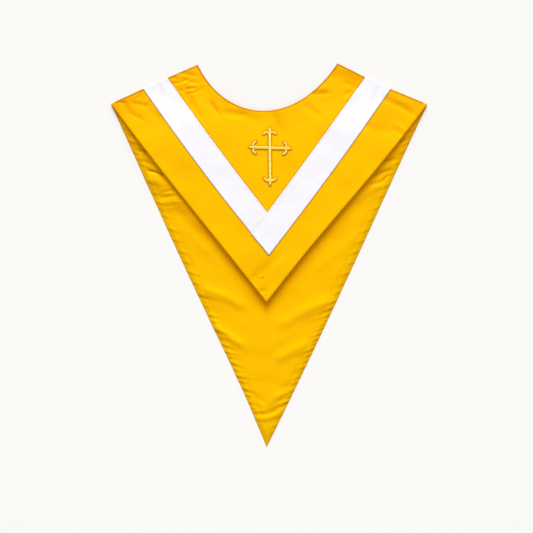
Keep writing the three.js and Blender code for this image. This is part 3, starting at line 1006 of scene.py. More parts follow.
# From the shoulder down. They are closer and deeper towards the point.
BACK_GATHERS = {
    Side.LEFT: (
        Gather(206, 14, 4.0, 0.5, -3),
        Gather(186, 10, 3.0, 0.4, -3),
        Gather(166, 16, 4.0, 0.5, -5),
        Gather(147, 12, 3.2, 0.5, -3),
        Gather(118, 15, 4.0, 0.5, -4),
        Gather(100, 12, 3.0, 0.5, -2),
        Gather(84, 14, 3.6, 0.5, -3),
        Gather(62, 12, 3.4, 0.45, -3),
        Gather(40, 15, 4.0, 0.5, -5),
        Gather(22, 11, 3.0, 0.45, -2),
        Gather(3, 14, 3.6, 0.5, -4),
        Gather(-14, 11, 3.0, 0.5, -2),
        Gather(-31, 15, 3.8, 0.6, -5),
        Gather(-49, 12, 3.2, 0.5, -3),
        Gather(-69, 18, 4.2, 0.8, -5),
        Gather(-87, 10, 3.0, 0.45, -2),
        Gather(-102, 13, 3.2, 0.7, -3),
        Gather(-112, 11, 2.8, 0.7, -2),
        Gather(-127, 16, 3.6, 0.8, -6),
        Gather(-139, 10, 2.8, 0.5, -2),
        Gather(-151, 15, 3.4, 0.8, -5),
        Gather(-163, 12, 2.8, 0.8, -3),
        Gather(-170, 10, 2.4, 0.6, -2),
        Gather(-181, 15, 3.4, 0.9, -5),
        Gather(-192, 10, 2.8, 0.5, -2),
        Gather(-203, 13, 3.0, 1, -2),
        Gather(-211, 11, 2.6, 0.8, -2),
        Gather(-224, 12, 3.2, 0.9, -3),
        Gather(-234, 11, 2.8, 0.9, -1),
        Gather(-247, 9, 2.8, 0.6, -1),
        Gather(-256, 9, 2.8, 0.8, 0),
        Gather(-270, 7, 2.6, 0.5, 0),
        Gather(-284, 6, 2.6, 0.45, 0),
    ),
    Side.RIGHT: (
        Gather(205, 14, 4.0, 0.5, -4),
        Gather(183, 13, 3.4, 0.5, -5),
        Gather(168, 11, 3.0, 0.5, -3),
        Gather(149, 14, 3.8, 0.5, -5),
        Gather(133, 11, 3.0, 0.5, -3),
        Gather(112, 15, 4.0, 0.5, -6),
        Gather(95, 11, 3.2, 0.45, -3),
        Gather(76, 13, 3.6, 0.5, -5),
        Gather(57, 11, 3.0, 0.45, -3),
        Gather(38, 14, 3.8, 0.5, -5),
        Gather(20, 11, 3.0, 0.45, -3),
        Gather(3, 13, 3.4, 0.5, -5),
        Gather(-15, 11, 3.0, 0.5, -3),
        Gather(-33, 14, 3.6, 0.55, -5),
        Gather(-50, 11, 3.0, 0.5, -3),
        Gather(-64, 13, 3.4, 0.5, -4),
        Gather(-79, 12, 3.0, 0.7, -4),
        Gather(-90, 15, 3.2, 0.8, -7),
        Gather(-102, 13, 3.2, 0.8, -5),
        Gather(-110, 9, 2.6, 0.5, -2),
        Gather(-117, 10, 2.6, 0.8, -2),
        Gather(-123, 11, 2.8, 0.9, -5),
        Gather(-132, 13, 3.0, 1, -6),
        Gather(-141, 12, 2.8, 0.9, -4),
        Gather(-149, 9, 2.6, 0.7, -2),
        Gather(-157, 16, 3.2, 1, -9),
        Gather(-167, 11, 2.8, 0.8, -4),
        Gather(-177, 9, 2.6, 0.5, -3),
        Gather(-188, 13, 3.0, 0.9, -5),
        Gather(-196, 9, 2.6, 0.6, -3),
        Gather(-204, 12, 2.8, 0.8, -4),
        Gather(-213, 11, 2.8, 0.8, -3),
        Gather(-227, 13, 3.2, 0.9, -5),
        Gather(-236, 9, 2.6, 0.6, -2),
        Gather(-245, 12, 2.8, 0.9, -6),
        Gather(-258, 9, 2.8, 0.8, -2),
        Gather(-269, 8, 2.6, 0.6, -2),
        Gather(-285, 7, 2.6, 0.6, -1),
        Gather(-297, 5, 2.4, 0.4, 0),
    ),
}


@dataclass(frozen=True)
class TurnedEdge:
    """The rolled edge of a piece that was sewn face to face, turned through and pressed.

    The face starts down this far inside the edge, by drop, and the side rolls out by out. Its
    section is a quarter circle at a roundness of 2 and straight at 1. The seam allowance inside
    lifts the face a little from lift_start to past allowance, where it fades over lift_fade.
    The edge is never thinner than least.
    """

    inside: float = 1.3
    drop: float = 0.2
    out: float = 0.4
    allowance: float = 9.0
    lift: float = 0.14
    roundness: float = 2.0
    least: float = 0.3
    lift_start: float = 0.5
    lift_full: float = 1.4
    lift_fade: tuple[float, float] = (-2.5, 1.5)
    steps: tuple[float, ...] = (50.0, 0.0, -50.0)

    def profile(self, distance: Array) -> Array:
        """Change in height of the face at a distance inside the edge.

        Args:
            distance: Distances inside the edge.

        Returns:
            One change in height for each distance.
        """
        share = np.clip(distance / self.inside, 0.0, 1.0)
        power = self.roundness
        fall = self.drop * (1.0 - (1.0 - (1.0 - share) ** power) ** (1.0 / power))
        fade = (self.allowance + step for step in self.lift_fade)
        full = self.lift * (1.0 - smoothstep(distance, *fade))
        return full * smoothstep(distance, self.lift_start, self.inside * self.lift_full) - fall


def ring_distance(points: Array, ring: Array) -> Array:
    """Distance from each point to a closed ring of straight stretches.

    Args:
        points: Places seen from above, as rows of two numbers.
        ring: The ring's corners, in order.

    Returns:
        One distance for each point.
    """
    run = np.roll(ring, -1, axis=0) - ring
    square = np.maximum((run**2).sum(axis=1), 1e-12)
    nearest = np.empty(len(points))
    batch = 2000
    for first in range(0, len(points), batch):
        part = points[first : first + batch, None, :] - ring[None, :, :]
        share = np.clip((part * run).sum(axis=2) / square, 0.0, 1.0)
        gap = part - share[:, :, None] * run
        nearest[first : first + batch] = np.sqrt((gap**2).sum(axis=2).min(axis=1))
    return nearest


def ring_outwards(ring: Array) -> Array:
    """The outward direction at each corner of an anticlockwise ring, longer at sharp corners.

    Args:
        ring: The ring's corners, in order.

    Returns:
        One direction for each corner.
    """
    arriving = ring - np.roll(ring, 1, axis=0)
    leaving = np.roll(ring, -1, axis=0) - ring
    arriving /= np.maximum(np.hypot(*arriving.T), 1e-9)[:, None]
    leaving /= np.maximum(np.hypot(*leaving.T), 1e-9)[:, None]
    out = np.stack([arriving[:, 1] + leaving[:, 1], -arriving[:, 0] - leaving[:, 0]], axis=-1)
    out /= np.hypot(*out.T)[:, None]
    facing = out[:, 0] * leaving[:, 1] - out[:, 1] * leaving[:, 0]
    sharpest = 0.45
    return out / np.maximum(sharpest, facing)[:, None]


@dataclass
class ClothGrid:
    """Places on a cloth seen from above, in rows and columns, and the ring round them."""

    points: Array

    def border(self) -> Array:
        """Numbers of the grid's outermost points, anticlockwise from the first row's start.

        Returns:
            The points' numbers, each once.
        """
        rows, columns = self.points.shape[:2]
        number = np.arange(rows * columns).reshape(rows, columns)
        return np.concatenate(
            [number[0], number[1:-1, -1], number[-1, ::-1], number[1:-1, 0][::-1]]
        )

    def flat(self) -> Array:
        """All the places as rows of two numbers."""
        return self.points.reshape(-1, 2)

    def quads(self) -> Array:
        """The grid's faces, facing up.

        Returns:
            Four point numbers for each face.
        """
        rows, columns = self.points.shape[:2]
        number = np.arange(rows * columns).reshape(rows, columns)
        low, high = number[:-1], number[1:]
        corners = [low[:, :-1], low[:, 1:], high[:, 1:], high[:, :-1]]
        return np.stack(corners, axis=-1).reshape(-1, 4)


class Cloth:
    """Builds the closed mesh of one cut piece from a grid of its face."""

    def __init__(self, name: str, grid: ClothGrid, edge: TurnedEdge) -> None:
        """Keep what the piece is made from.

        Args:
            name: The piece's name.
            grid: The places of its face.
            edge: How its edge is turned.
        """
        self.name = name
        self.grid = grid
        self.edge = edge

    def build(
        self,
        top: Callable[[Array, Array], Array],
        under: Callable[[Array, Array], Array],
        shade: Callable[[Array, Array, Array], Array],
        cut_map: Callable[[Array], Array],
        under_step: int = 0,
    ) -> bpy.types.Object:
        """Make the piece.

        Args:
            top: Height of the face at places, before its edge is turned.
            under: Height of the under face at places.
            shade: Painted shade at places, given also how far inside the edge they are.
            cut_map: Places on the flat cut, for the weave.
            under_step: Every so many rows and columns has a point on the under face, or 0 if the
                under face is flat.

        Returns:
            The new object, in metres.
        """
        flat = self.grid.flat()
        border = self.grid.border()
        ring = flat[border]
        x, y = flat.T
        inside = ring_distance(flat, ring)
        face = np.maximum(top(x, y) + self.edge.profile(inside), under(x, y) + self.edge.least)
        ring_under = under(*ring.T)
        ring_top = face[border]
        half = (ring_top - ring_under) / 2.0
        out = ring_outwards(ring)
        layers = [np.column_stack([flat, face])]
        for angle in self.edge.steps:
            turn = math.radians(angle)
            moved = ring + out * self.edge.out * math.cos(turn)
            layers.append(np.column_stack([moved, ring_under + half * (1.0 + math.sin(turn))]))
        layers.append(np.column_stack([ring, ring_under]))
        beneath, beneath_faces = self.under_face(ring, under, under_step)
        layers.append(beneath[len(ring) :])
        faces = [tuple(quad) for quad in self.grid.quads()]
        faces += self.side_faces(border, len(flat), len(self.edge.steps) + 1)
        first = len(flat) + len(ring) * len(self.edge.steps)
        faces += [tuple(first + corner for corner in face) for face in beneath_faces]
        places = np.concatenate(layers)
        # Painted shade for each point, which the satin reads as its depth attribute.
        depth = shade(*places[:, :2].T, np.pad(inside, (0, len(places) - len(flat))))
        return self.to_object(places, faces, cut_map(places[:, :2]), depth)

    def side_faces(self, border: Array, start: int, count: int) -> list[tuple[int, ...]]:
        """Faces that join the face's ring to the rings below it.

        Args:
            border: Numbers of the face's outermost points.
            start: The number of the first point of the next ring.
            count: How many rings there are below the face.

        Returns:
            The faces, facing outwards.
        """
        faces = []
        upper = border
        for ring in range(count):
            lower = start + ring * len(border) + np.arange(len(border))
            strip = np.stack([lower, np.roll(lower, -1), np.roll(upper, -1), upper], axis=-1)
            faces += [tuple(quad) for quad in strip]
            upper = lower
        return faces

    def under_face(
        self, ring: Array, under: Callable[[Array, Array], Array], step: int
    ) -> tuple[Array, list[tuple[int, ...]]]:
        """The under face inside its ring.

        Args:
            ring: The ring's places.
            under: Height of the under face at places.
            step: Every so many rows and columns has a point, or 0 for a flat face.

        Returns:
            The points, the ring first, and the faces, facing down.
        """
        if step == 0:
            triangles = tessellate_polygon([[Vector((*place, 0.0)) for place in ring]])
            points = np.column_stack([ring, under(*ring.T)])
            return points, [self.facing_down(points, face) for face in triangles]
        inner = self.grid.points[step:-step:step, step:-step:step].reshape(-1, 2)
        clear_of_ring = 1.0
        clear = ring_distance(inner, ring) > clear_of_ring
        places = np.concatenate([ring, inner[clear]])
        edges = [(i, (i + 1) % len(ring)) for i in range(len(ring))]
        found = delaunay_2d_cdt([Vector(place) for place in places], edges, [], 1, 1e-6)
        origin = [sources[0] for sources in found[3]]
        points = np.column_stack([places, under(*places.T)])
        return points, [
            self.facing_down(points, tuple(origin[corner] for corner in face)) for face in found[2]
        ]

    def facing_down(self, points: Array, face: tuple[int, ...]) -> tuple[int, ...]:
        """The face with its corners in the order that makes it face down.

        Args:
            points: The points that the face's corners number.
            face: The face's corners.

        Returns:
            The corners, turned round if the face faced up.
        """
        a, b, c = (points[corner] for corner in face[:3])
        turn = (b[0] - a[0]) * (c[1] - a[1]) - (b[1] - a[1]) * (c[0] - a[0])
        return tuple(reversed(face)) if turn > 0 else tuple(face)

    def to_object(
        self, places: Array, faces: list[tuple[int, ...]], cut: Array, depth: Array
    ) -> bpy.types.Object:
        """Make a smooth object with a map of its flat cut.

        Args:
            places: Points in millimetres.
            faces: Corners of each face.
            cut: Where each point is on the flat cut, in millimetres.
            depth: How much painted shade darkens the colour at each point, from 0 to 1.

        Returns:
            The new object.
        """
        mesh = bpy.data.meshes.new(self.name)
        mesh.from_pydata(places * MM, [], faces)
        # The depth attribute carries painted shade to the satin.
        tone = mesh.attributes.new("depth", "FLOAT", "POINT")
        tone.data.foreach_set("value", np.clip(depth, 0.0, 1.0).astype(np.float32))
        layer = mesh.uv_layers.new(name="cut")
        corners = np.empty(len(mesh.loops), np.int32)
        mesh.loops.foreach_get("vertex_index", corners)
        layer.data.foreach_set("uv", (cut[corners] * MM).astype(np.float32).ravel())
        mesh.shade_smooth()
        piece = bpy.data.objects.new(self.name, mesh)
        bpy.context.scene.collection.objects.link(piece)
        return piece


class Socket:
    """A shader value that Python's arithmetic works on."""

    def __init__(self, graph: "NodeGraph", socket: bpy.types.NodeSocket) -> None:
        """Keep the socket and the graph it is in."""
        self.graph = graph
        self.socket = socket

    def _math(self, operation: str, first: object, second: object) -> "Socket":
        """Add a Math node on two values."""
        return self.graph.node("ShaderNodeMath", {"operation": operation}, {0: first, 1: second})

    def __add__(self, other: object) -> "Socket":
        """Sum."""
        return self._math("ADD", self, other)

    __radd__ = __add__

    def __mul__(self, other: object) -> "Socket":
        """Product."""
        return self._math("MULTIPLY", self, other)

    __rmul__ = __mul__

    def __sub__(self, other: object) -> "Socket":
        """Difference."""
        return self._math("SUBTRACT", self, other)

    def __rsub__(self, other: object) -> "Socket":
        """Difference from a number."""
        return self._math("SUBTRACT", other, self)

    def __pow__(self, other: object) -> "Socket":
        """Power."""
        return self._math("POWER", self, other)

    def sine(self) -> "Socket":
        """Sine, in radians."""
        return self._math("SINE", self, 0.0)

    def absolute(self) -> "Socket":
        """Distance from nought."""
        return self._math("ABSOLUTE", self, 0.0)


class NodeGraph:
    """A new material's nodes."""

    def __init__(self, name: str) -> None:
        """Start an empty material.

        Args:
            name: The material's name.
        """
        self.material = bpy.data.materials.new(name)
        self.material.use_nodes = True
        self.tree = self.material.node_tree
        self.tree.nodes.clear()

    def node(
        self,
        kind: str,
        settings: dict[str, object],
        inputs: dict[object, object],
        output: object = 0,
    ) -> Socket:
        """Add a node.

        Args:
            kind: The node's type.
            settings: Its own settings, set first.
            inputs: Values, or sockets to link, by name or number.
            output: The name or number of the output that is returned.

        Returns:
            The chosen output, or the only input of a node that has no outputs.
        """
        made = self.tree.nodes.new(kind)
        for key, value in settings.items():
            setattr(made, key, value)
        for key, value in inputs.items():
            if isinstance(value, Socket):
                self.tree.links.new(value.socket, made.inputs[key])
            else:
                made.inputs[key].default_value = value
        return Socket(self, made.outputs[output] if made.outputs else made.inputs[0])

    def mix(self, share: object, low: object, high: object) -> Socket:
        """Blend two colours.

        Args:
            share: How much of the second colour, from 0 to 1.
            low: The first colour.
            high: The second colour.

        Returns:
            The blend.
        """
        settings = {"data_type": "RGBA", "blend_type": "MIX"}
        return self.node("ShaderNodeMix", settings, {0: share, 6: low, 7: high}, 2)

    def noise(self, place: Socket, detail: float = 2.0) -> Socket:
        """Soft noise from about 0 to 1.

        Args:
            place: Where the noise is read.
            detail: How fine it is.

        Returns:
            The noise.
        """
        inputs = {"Vector": place, "Scale": 1.0, "Detail": detail, "Roughness": 0.5}
        return self.node("ShaderNodeTexNoise", {}, inputs, 0)

    def stretched(self, place: Socket, across: float, along: float, turn: float = 0.0) -> Socket:
        """A place with its two directions scaled, after a turn in degrees.

        Args:
            place: The place.
            across: The scale across.
            along: The scale along.
            turn: The turn in degrees.

        Returns:
            The new place.
        """
        inputs = {
            "Vector": place,
            "Rotation": (0.0, 0.0, math.radians(turn)),
            "Scale": (across, along, 1.0),
        }
        return self.node("ShaderNodeMapping", {}, inputs, 0)

    def part(self, place: Socket, axis: str) -> Socket:
        """One of a place's three numbers."""
        return self.node("ShaderNodeSeparateXYZ", {}, {0: place}, axis)


@dataclass(frozen=True)
class Satin:
    """Polyester satin: long floats of yarn along the cut, with a soft sheen."""

    name: str
    colour: Colour
    # deep is for the back's own deeper tone and for painted shade in creases, on slopes and in
    # shadow; seam is painted shade for the darkest rims, lines and shadows.
    deep: Colour
    seam: Colour
    tint: Colour
    metallic: float = 0.25
    roughness: float = 0.48
    rough_change: float = 0.06
    specular: float = 0.5
    thread: float = 0.00032
    float_length: float = 0.0021
    weave_bump: float = 0.000012
    slub_bump: float = 0.00008
    soft_bump: float = 0.0005
    shade_change: float = 0.1
    slub_scale: tuple[float, float] = (900.0, 60.0)
    soft_scale: tuple[float, float] = (30.0, 22.0)
    patch_scale: tuple[float, float] = (11.0, 8.0)
    patch_turn: float = 20.0
    patch_share: float = 0.7

    def material(self) -> bpy.types.Material:
        """Make the material.

        Returns:
            The material.
        """
        graph = NodeGraph(self.name)
        cut = graph.node("ShaderNodeUVMap", {"uv_map": "cut"}, {}, 0)
        across, along = graph.part(cut, "X"), graph.part(cut, "Y")
        ridge = (across * (math.pi / self.thread)).sine().absolute()
        skip = (across * (0.4 * math.pi / self.thread)).sine() * 2.0
        binding = (along * (2.0 * math.pi / self.float_length) + skip).sine() * 0.5 + 0.5
        weave = ridge * (1.0 - binding**6.0)
        slub = graph.noise(graph.stretched(cut, *self.slub_scale), 3.0)
        soft = graph.noise(graph.stretched(cut, *self.soft_scale))
        patch = graph.noise(graph.stretched(cut, *self.patch_scale, self.patch_turn))
        height = weave * self.weave_bump + slub * self.slub_bump + soft * self.soft_bump
        normal = graph.node(
            "ShaderNodeBump", {}, {"Strength": 1.0, "Distance": 1.0, "Height": height}, 0
        )
        # The depth attribute is mostly painted shade, with the back's own deeper tone; it mixes the
        # colour towards deep and then seam.
        depth = graph.node("ShaderNodeAttribute", {"attribute_name": "depth"}, {}, "Fac")
        uneven = patch * self.patch_share + slub * (1.0 - self.patch_share) - 0.5
        shade = depth + uneven * self.shade_change
        colour = graph.mix(shade * 2.0, (*self.colour, 1.0), (*self.deep, 1.0))
        colour = graph.mix(shade * 2.0 - 1.0, colour, (*self.seam, 1.0))
        rough = self.roughness + (slub - 0.5) * self.rough_change
        shader = graph.node(
            "ShaderNodeBsdfPrincipled",
            {},
            {
                "Base Color": colour,
                "Metallic": self.metallic,
                "Roughness": rough,
                "Specular IOR Level": self.specular,
                "Specular Tint": (*self.tint, 1.0),
                "Normal": normal,
            },
            0,
        )
        graph.node("ShaderNodeOutputMaterial", {}, {"Surface": shader})
        return graph.material


@dataclass(frozen=True)
class EmbroideryThread:
    """Glossy embroidery thread, with a fine grain and a slow drift of its colour."""

    name: str
    colour: Colour
    deep: Colour
    roughness: float = 0.34
    rough_change: float = 0.1
    metallic: float = 0.25
    grain_scale: float = 2400.0
    grain_share: float = 0.2
    grain_bump: float = 0.000008
    drift_scale: float = 160.0
    drift_share: float = 0.4

    def material(self) -> bpy.types.Material:
        """Make the material.

        Returns:
            The material.
        """
        graph = NodeGraph(self.name)
        place = graph.node("ShaderNodeTexCoord", {}, {}, "Object")
        grain = graph.noise(graph.stretched(place, self.grain_scale, self.grain_scale))
        drift = graph.noise(graph.stretched(place, self.drift_scale, self.drift_scale))
        share = drift * self.drift_share + grain * self.grain_share
        colour = graph.mix(share, (*self.colour, 1.0), (*self.deep, 1.0))
        height = grain * self.grain_bump
        normal = graph.node(
            "ShaderNodeBump", {}, {"Strength": 1.0, "Distance": 1.0, "Height": height}, 0
        )
        shader = graph.node(
            "ShaderNodeBsdfPrincipled",
            {},
            {
                "Base Color": colour,
                "Metallic": self.metallic,
                "Roughness": self.roughness + (grain - 0.5) * self.rough_change,
                "Normal": normal,
            },
            0,
        )
        graph.node("ShaderNodeOutputMaterial", {}, {"Surface": shader})
        return graph.material


# Gold: its own colour, then deep for its deeper tone and painted shade, then seam for the darkest
# painted shade, then the tint of its sheen.
GOLD_SATIN = Satin(
    "gold_satin",
    (0.86, 0.50, 0.0006),
    (0.79, 0.32, 0.0004),
    (0.38, 0.16, 0.0003),
    (1.0, 0.6, 0.01),
)
# White: its own colour, then painted grey shade for creases and for the lap line, then the tint of
# its sheen.
WHITE_SATIN = Satin(
    "white_satin",
    (0.765, 0.752, 0.785),
    (0.68, 0.66, 0.70),
    (0.50, 0.48, 0.52),
    (1.0, 1.0, 1.0),
    metallic=0.1,
    roughness=0.42,
    shade_change=0.08,
)
GOLD_THREAD = EmbroideryThread("gold_thread", (0.95, 0.70, 0.13), (0.80, 0.46, 0.03))
WHITE_THREAD = EmbroideryThread(
    "white_thread", (0.785, 0.775, 0.80), (0.70, 0.68, 0.72), metallic=0.05
)
SEAM_THREAD = EmbroideryThread(
    "seam_thread", (0.60, 0.30, 0.003), (0.46, 0.20, 0.002), metallic=0.05
)


@dataclass
class Panels:
    """The two gold panels: the short front V over the long back V."""

    outline: Outline
    front: FrontLie
    back: BackLie
    edge: TurnedEdge = TurnedEdge(out=0.75)
    back_edge: TurnedEdge = TurnedEdge(inside=7.0, drop=1.15, out=0.6, roundness=1.2)
    step: float = 1.75
    back_step: float = 1.55
    fine: float = 0.55
    growth: float = 1.25
    band_growth: float = 1.8
    front_seam: float = 413.0
    hem_width: float = 62.0
    band_width: float = 42.0
    yoke_width: float = 150.0
    back_seam: float = 621.0
    shown_width: float = 118.0
    shown_depth: float = 0.5
    hidden_rows: int = 14

    def chevron(
        self, lines: list[Callable[[Side, Array], Array]], shares: list[Array], along: Array
    ) -> Array:
        """Rows of places that follow the V, from guide lines.

        Args:
            lines: Guide lines from the outer edge to the neckline, each for a side and shares.
            shares: For each stretch between two guide lines, the rows' shares, 0 first.
            along: Shares from the shoulder to the middle.

        Returns:
            Places as rows, columns and two numbers. The columns run from the left shoulder.
        """
        sides = {}
        for side in Side:
            guides = [line(side, along) for line in lines]
            rows = []
            for low, high, part in zip(guides, guides[1:], shares):
                rows += [low + (high - low) * share for share in part[:-1]]
            rows.append(guides[-1])
            sides[side] = np.array(rows)
        return np.concatenate([sides[Side.LEFT], sides[Side.RIGHT][:, -2::-1]], axis=1)

    def front_grid(self) -> tuple[ClothGrid, tuple[int, int]]:
        """The front panel's grid, and the first and last of its rows under the trim bands.

        Returns:
            The grid, and the numbers of the two rows.
        """
        line = self.outline
        along = spaced(self.front_seam, self.fine, self.step, self.growth, (True, False))
        hem = spaced(self.hem_width, self.fine, self.step, self.growth, (True, True))
        band = spaced(self.band_width, self.fine, self.step, self.band_growth, (True, True))
        yoke = spaced(self.yoke_width, self.fine, self.step, self.growth, (True, True))
        grid = self.chevron(
            [
                line.front_edge,
                partial(line.band_side, BandLine.OUTER),
                partial(line.band_side, BandLine.INNER),
                line.neck_line,
            ],
            [hem, band, yoke],
            along,
        )
        return ClothGrid(grid), (len(hem) - 1, len(hem) + len(band) - 2)

    def back_grid(self) -> ClothGrid:
        """The back panel's grid, coarse where the front panel covers it.

        Returns:
            The grid.
        """
        line = self.outline
        along = spaced(self.back_seam, self.fine, self.back_step, self.growth, (True, False))
        shown = spaced(self.shown_width, self.fine, self.back_step, self.growth, (True, False))
        hidden = np.linspace(0.0, 1.0, self.hidden_rows + 1)[1:]
        covered = self.shown_depth + hidden * (1 - self.shown_depth)
        part = np.concatenate([shown * self.shown_depth, covered])
        grid = self.chevron([line.back_edge, line.back_neck_line], [part], along)
        columns = len(along)
        pull = (1.0 - along) ** 3
        halves = {Side.LEFT: slice(0, columns), Side.RIGHT: slice(None, columns - 2, -1)}
        for side, where in halves.items():
            straight = line.shoulder_line(side, np.array([0.0, 1.0]))
            chord = straight[0] + part[:, None] * (straight[1] - straight[0])
            sag = line.shoulder_line(side, part) - chord
            grid[:, where] += sag[:, None, :] * pull[None, :, None]
        return ClothGrid(grid)

    def cut_map(self, places: Array) -> Array:
        """A panel is cut in the shape in which it lies."""
        return places

    def build(self) -> dict[str, bpy.types.Object]:
        """Make both panels.

        Returns:
            The front and the back.
        """
        front = Cloth("front_panel_cloth", self.front_grid()[0], self.edge).build(
            self.front.top, self.front.under, self.front.shade, self.cut_map, under_step=6
        )
        back = Cloth("back_panel_cloth", self.back_grid(), self.back_edge).build(
            self.back.top, self.back.under, self.back.shade, self.cut_map
        )
        return {"front": front, "back": back}

    def dress(self, pieces: dict[str, bpy.types.Object]) -> None:
        """Give the panels their satin and their body.

        Args:
            pieces: The two panels.
        """
        satin = GOLD_SATIN.material()
        for key, piece in pieces.items():
            piece.data.materials.append(satin)
            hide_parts(f"{key}_panel")
            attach(piece, "root")

    def declare(
        self, pieces: dict[str, bpy.types.Object], worked: list[bpy.types.Object]
    ) -> None:
        """Does nothing; the panels' cut sizes are not stated.

        Args:
            pieces: The two panels; not used.
            worked: The stitching that is worked on the front panel; not used.
        """


@dataclass
class TrimBands:
    """The two white bands on the front panel; the right one laps over the left one's end."""

    panels: Panels
    wall: float = 0.5
    gap: float = 0.06
    folded_end: tuple[float, float] = (-30.0, 35.8)
    folded_width: float = 1.2
    seam_reach: float = 0.85
    lap_step: float = 1.6
    climb_run: float = 16.0
    # Painted shade in the bands' creases, and a painted shadow line beside the right band's folded
    # end.
    painted_crease_shade: float = 0.9
    deepest_crease: float = 0.6
    lap_shade: float = 1.0
    lap_before: float = 0.8
    lap_width: float = 1.3
    edge: TurnedEdge = TurnedEdge(inside=0.25, drop=0.06, out=0.08, allowance=6.0, lift=0.06)

    def crumple(self, x: Array, y: Array) -> Array:
        """Height of the bands' own small creases.

        Args:
            x: Places across.
            y: Places along.

        Returns:
            One height for each place.
        """
        total = np.zeros_like(x)
        for form in BAND_FORMS:
            total = total + form.height_at(x, y)
        return total

    def rest(self, x: Array, y: Array) -> Array:
        """Height of the face that the bands are sewn to."""
        return self.panels.front.top(x, y) + self.gap

    def climb(self, x: Array, y: Array) -> Array:
        """How far the right band climbs to pass over the left one.

        Args:
            x: Places across.
            y: Places along.

        Returns:
            One height for each place.
        """
        apex = np.array(self.panels.outline.band_apex[BandLine.INNER])
        tip = np.array(self.panels.outline.band_apex[BandLine.OUTER])
        past = self.panels.outline.inside_line(apex, tip, Side.LEFT, x, y)
        return (self.wall + self.gap) * (1.0 - smoothstep(past, 0.0, self.climb_run))

    def band_map(self, side: Side) -> Callable[[Array], Array]:
        """A map that turns places so that the yarn runs along the band.

        Args:
            side: The band's side.

        Returns:
            The map.
        """
        line = self.panels.outline
        start = line.band_side(BandLine.OUTER, side, np.array([0.0, 1.0]))
        run = start[1] - start[0]
        run = run / np.hypot(*run)
        aside = np.array([-run[1], run[0]])
        return lambda places: np.column_stack([places @ aside, places @ run])

    def past_shoulder(self, end: Array, before: Array) -> Array:
        """Places just past a band's end, where the band covers the panel's turned edge."""
        run = end - before
        return (end + self.seam_reach * run / np.hypot(*run.T)[:, None])[:, None]

    def grids(self) -> dict[Side, ClothGrid]:
        """The bands' grids, cut from the front panel's.

        Returns:
            A grid for each side's band.
        """
        grid, (first, last) = self.panels.front_grid()
        rows = grid.points[first : last + 1]
        start = self.past_shoulder(rows[:, 0], rows[:, 1])
        finish = self.past_shoulder(rows[:, -1], rows[:, -2])
        rows = np.concatenate([start, rows, finish], axis=1)
        middle = rows.shape[1] // 2
        left = rows[:, : middle + 1]
        end_low = np.array(self.folded_end)
        apex = rows[-1, middle]
        end_high = apex + np.array([-self.folded_width, self.folded_width])
        share = np.linspace(0.0, 1.0, len(rows))[:, None]
        ends = end_low + (end_high - end_low) * share
        start = rows[:, middle]
        count = max(3, round(float(np.hypot(*(end_low - start[0]))) / self.lap_step))
        steps = np.linspace(1.0, 0.0, count + 1)[:-1]
        lap = np.stack([start + (ends - start) * step for step in steps], axis=1)
        return {
            Side.LEFT: ClothGrid(left),
            Side.RIGHT: ClothGrid(np.concatenate([lap, rows[:, middle:]], axis=1)),
        }

    def under(self, side: Side, x: Array, y: Array) -> Array:
        """Height of a band's under face."""
        return self.rest(x, y) + (self.climb(x, y) if side is Side.RIGHT else 0.0)

    def top(self, side: Side, x: Array, y: Array) -> Array:
        """Height of a band's face, without the roll of its edge."""
        return self.under(side, x, y) + self.wall + self.crumple(x, y)

    def build(self) -> dict[Side, bpy.types.Object]:
        """Make both bands.

        Returns:
            The band on each side.
        """
        names = {Side.LEFT: "trim_band_left_cloth", Side.RIGHT: "trim_band_right_cloth"}
        shades = {Side.LEFT: self.shade_beneath, Side.RIGHT: self.shade}
        return {
            side: Cloth(names[side], grid, self.edge).build(
                partial(self.top, side),
                partial(self.under, side),
                shades[side],
                self.band_map(side),
                under_step=1,
            )
            for side, grid in self.grids().items()
        }

    def shade(self, x: Array, y: Array, inside: Array) -> Array:
        """Painted grey shade in the satin's creases."""
        return np.clip(-self.crumple(x, y) * self.painted_crease_shade, 0.0, self.deepest_crease)

    def past_lap(self, x: Array, y: Array) -> Array:
        """Distance past the right band's folded end, positive beneath that band."""
        apex = np.array(self.panels.outline.band_apex[BandLine.INNER])
        return self.panels.outline.inside_line(apex, np.array(self.folded_end), Side.LEFT, x, y)

    def shade_beneath(self, x: Array, y: Array, inside: Array) -> Array:
        """The same on the left band, with a line of shade beside the right band's folded end."""
        beside = bump(self.past_lap(x, y) + self.lap_before, self.lap_width)
        return self.shade(x, y, inside) + self.lap_shade * beside

    def dress(self, pieces: dict[Side, bpy.types.Object]) -> None:
        """Give the bands their satin and their body.

        Args:
            pieces: The two bands.
        """
        satin = WHITE_SATIN.material()
        for piece in pieces.values():
            piece.data.materials.append(satin)
            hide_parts(piece.name.removesuffix("_cloth"))
            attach(piece, "root")

    def declare(
        self, pieces: dict[Side, bpy.types.Object], sewing: dict[Side, bpy.types.Object]
    ) -> None:
        """Does nothing; the bands' cut sizes are not stated.

        Args:
            pieces: The two bands; not used.
            sewing: The edge stitching on each; not used.
        """


BAND_FORMS = (
    Fold(-181, 281, -176, 271, 3.0, -0.35),
    Fold(-186, 285, -190, 279, 3.0, 0.30),
    Fold(-163, 296, -158, 293, 2.4, -0.30),
    Fold(-168, 262, -150, 252, 7.0, -0.20),
    Fold(150, 262, 136, 248, 7.0, -0.20),
    Fold(176, 270, 170, 258, 5.0, -0.25),
)


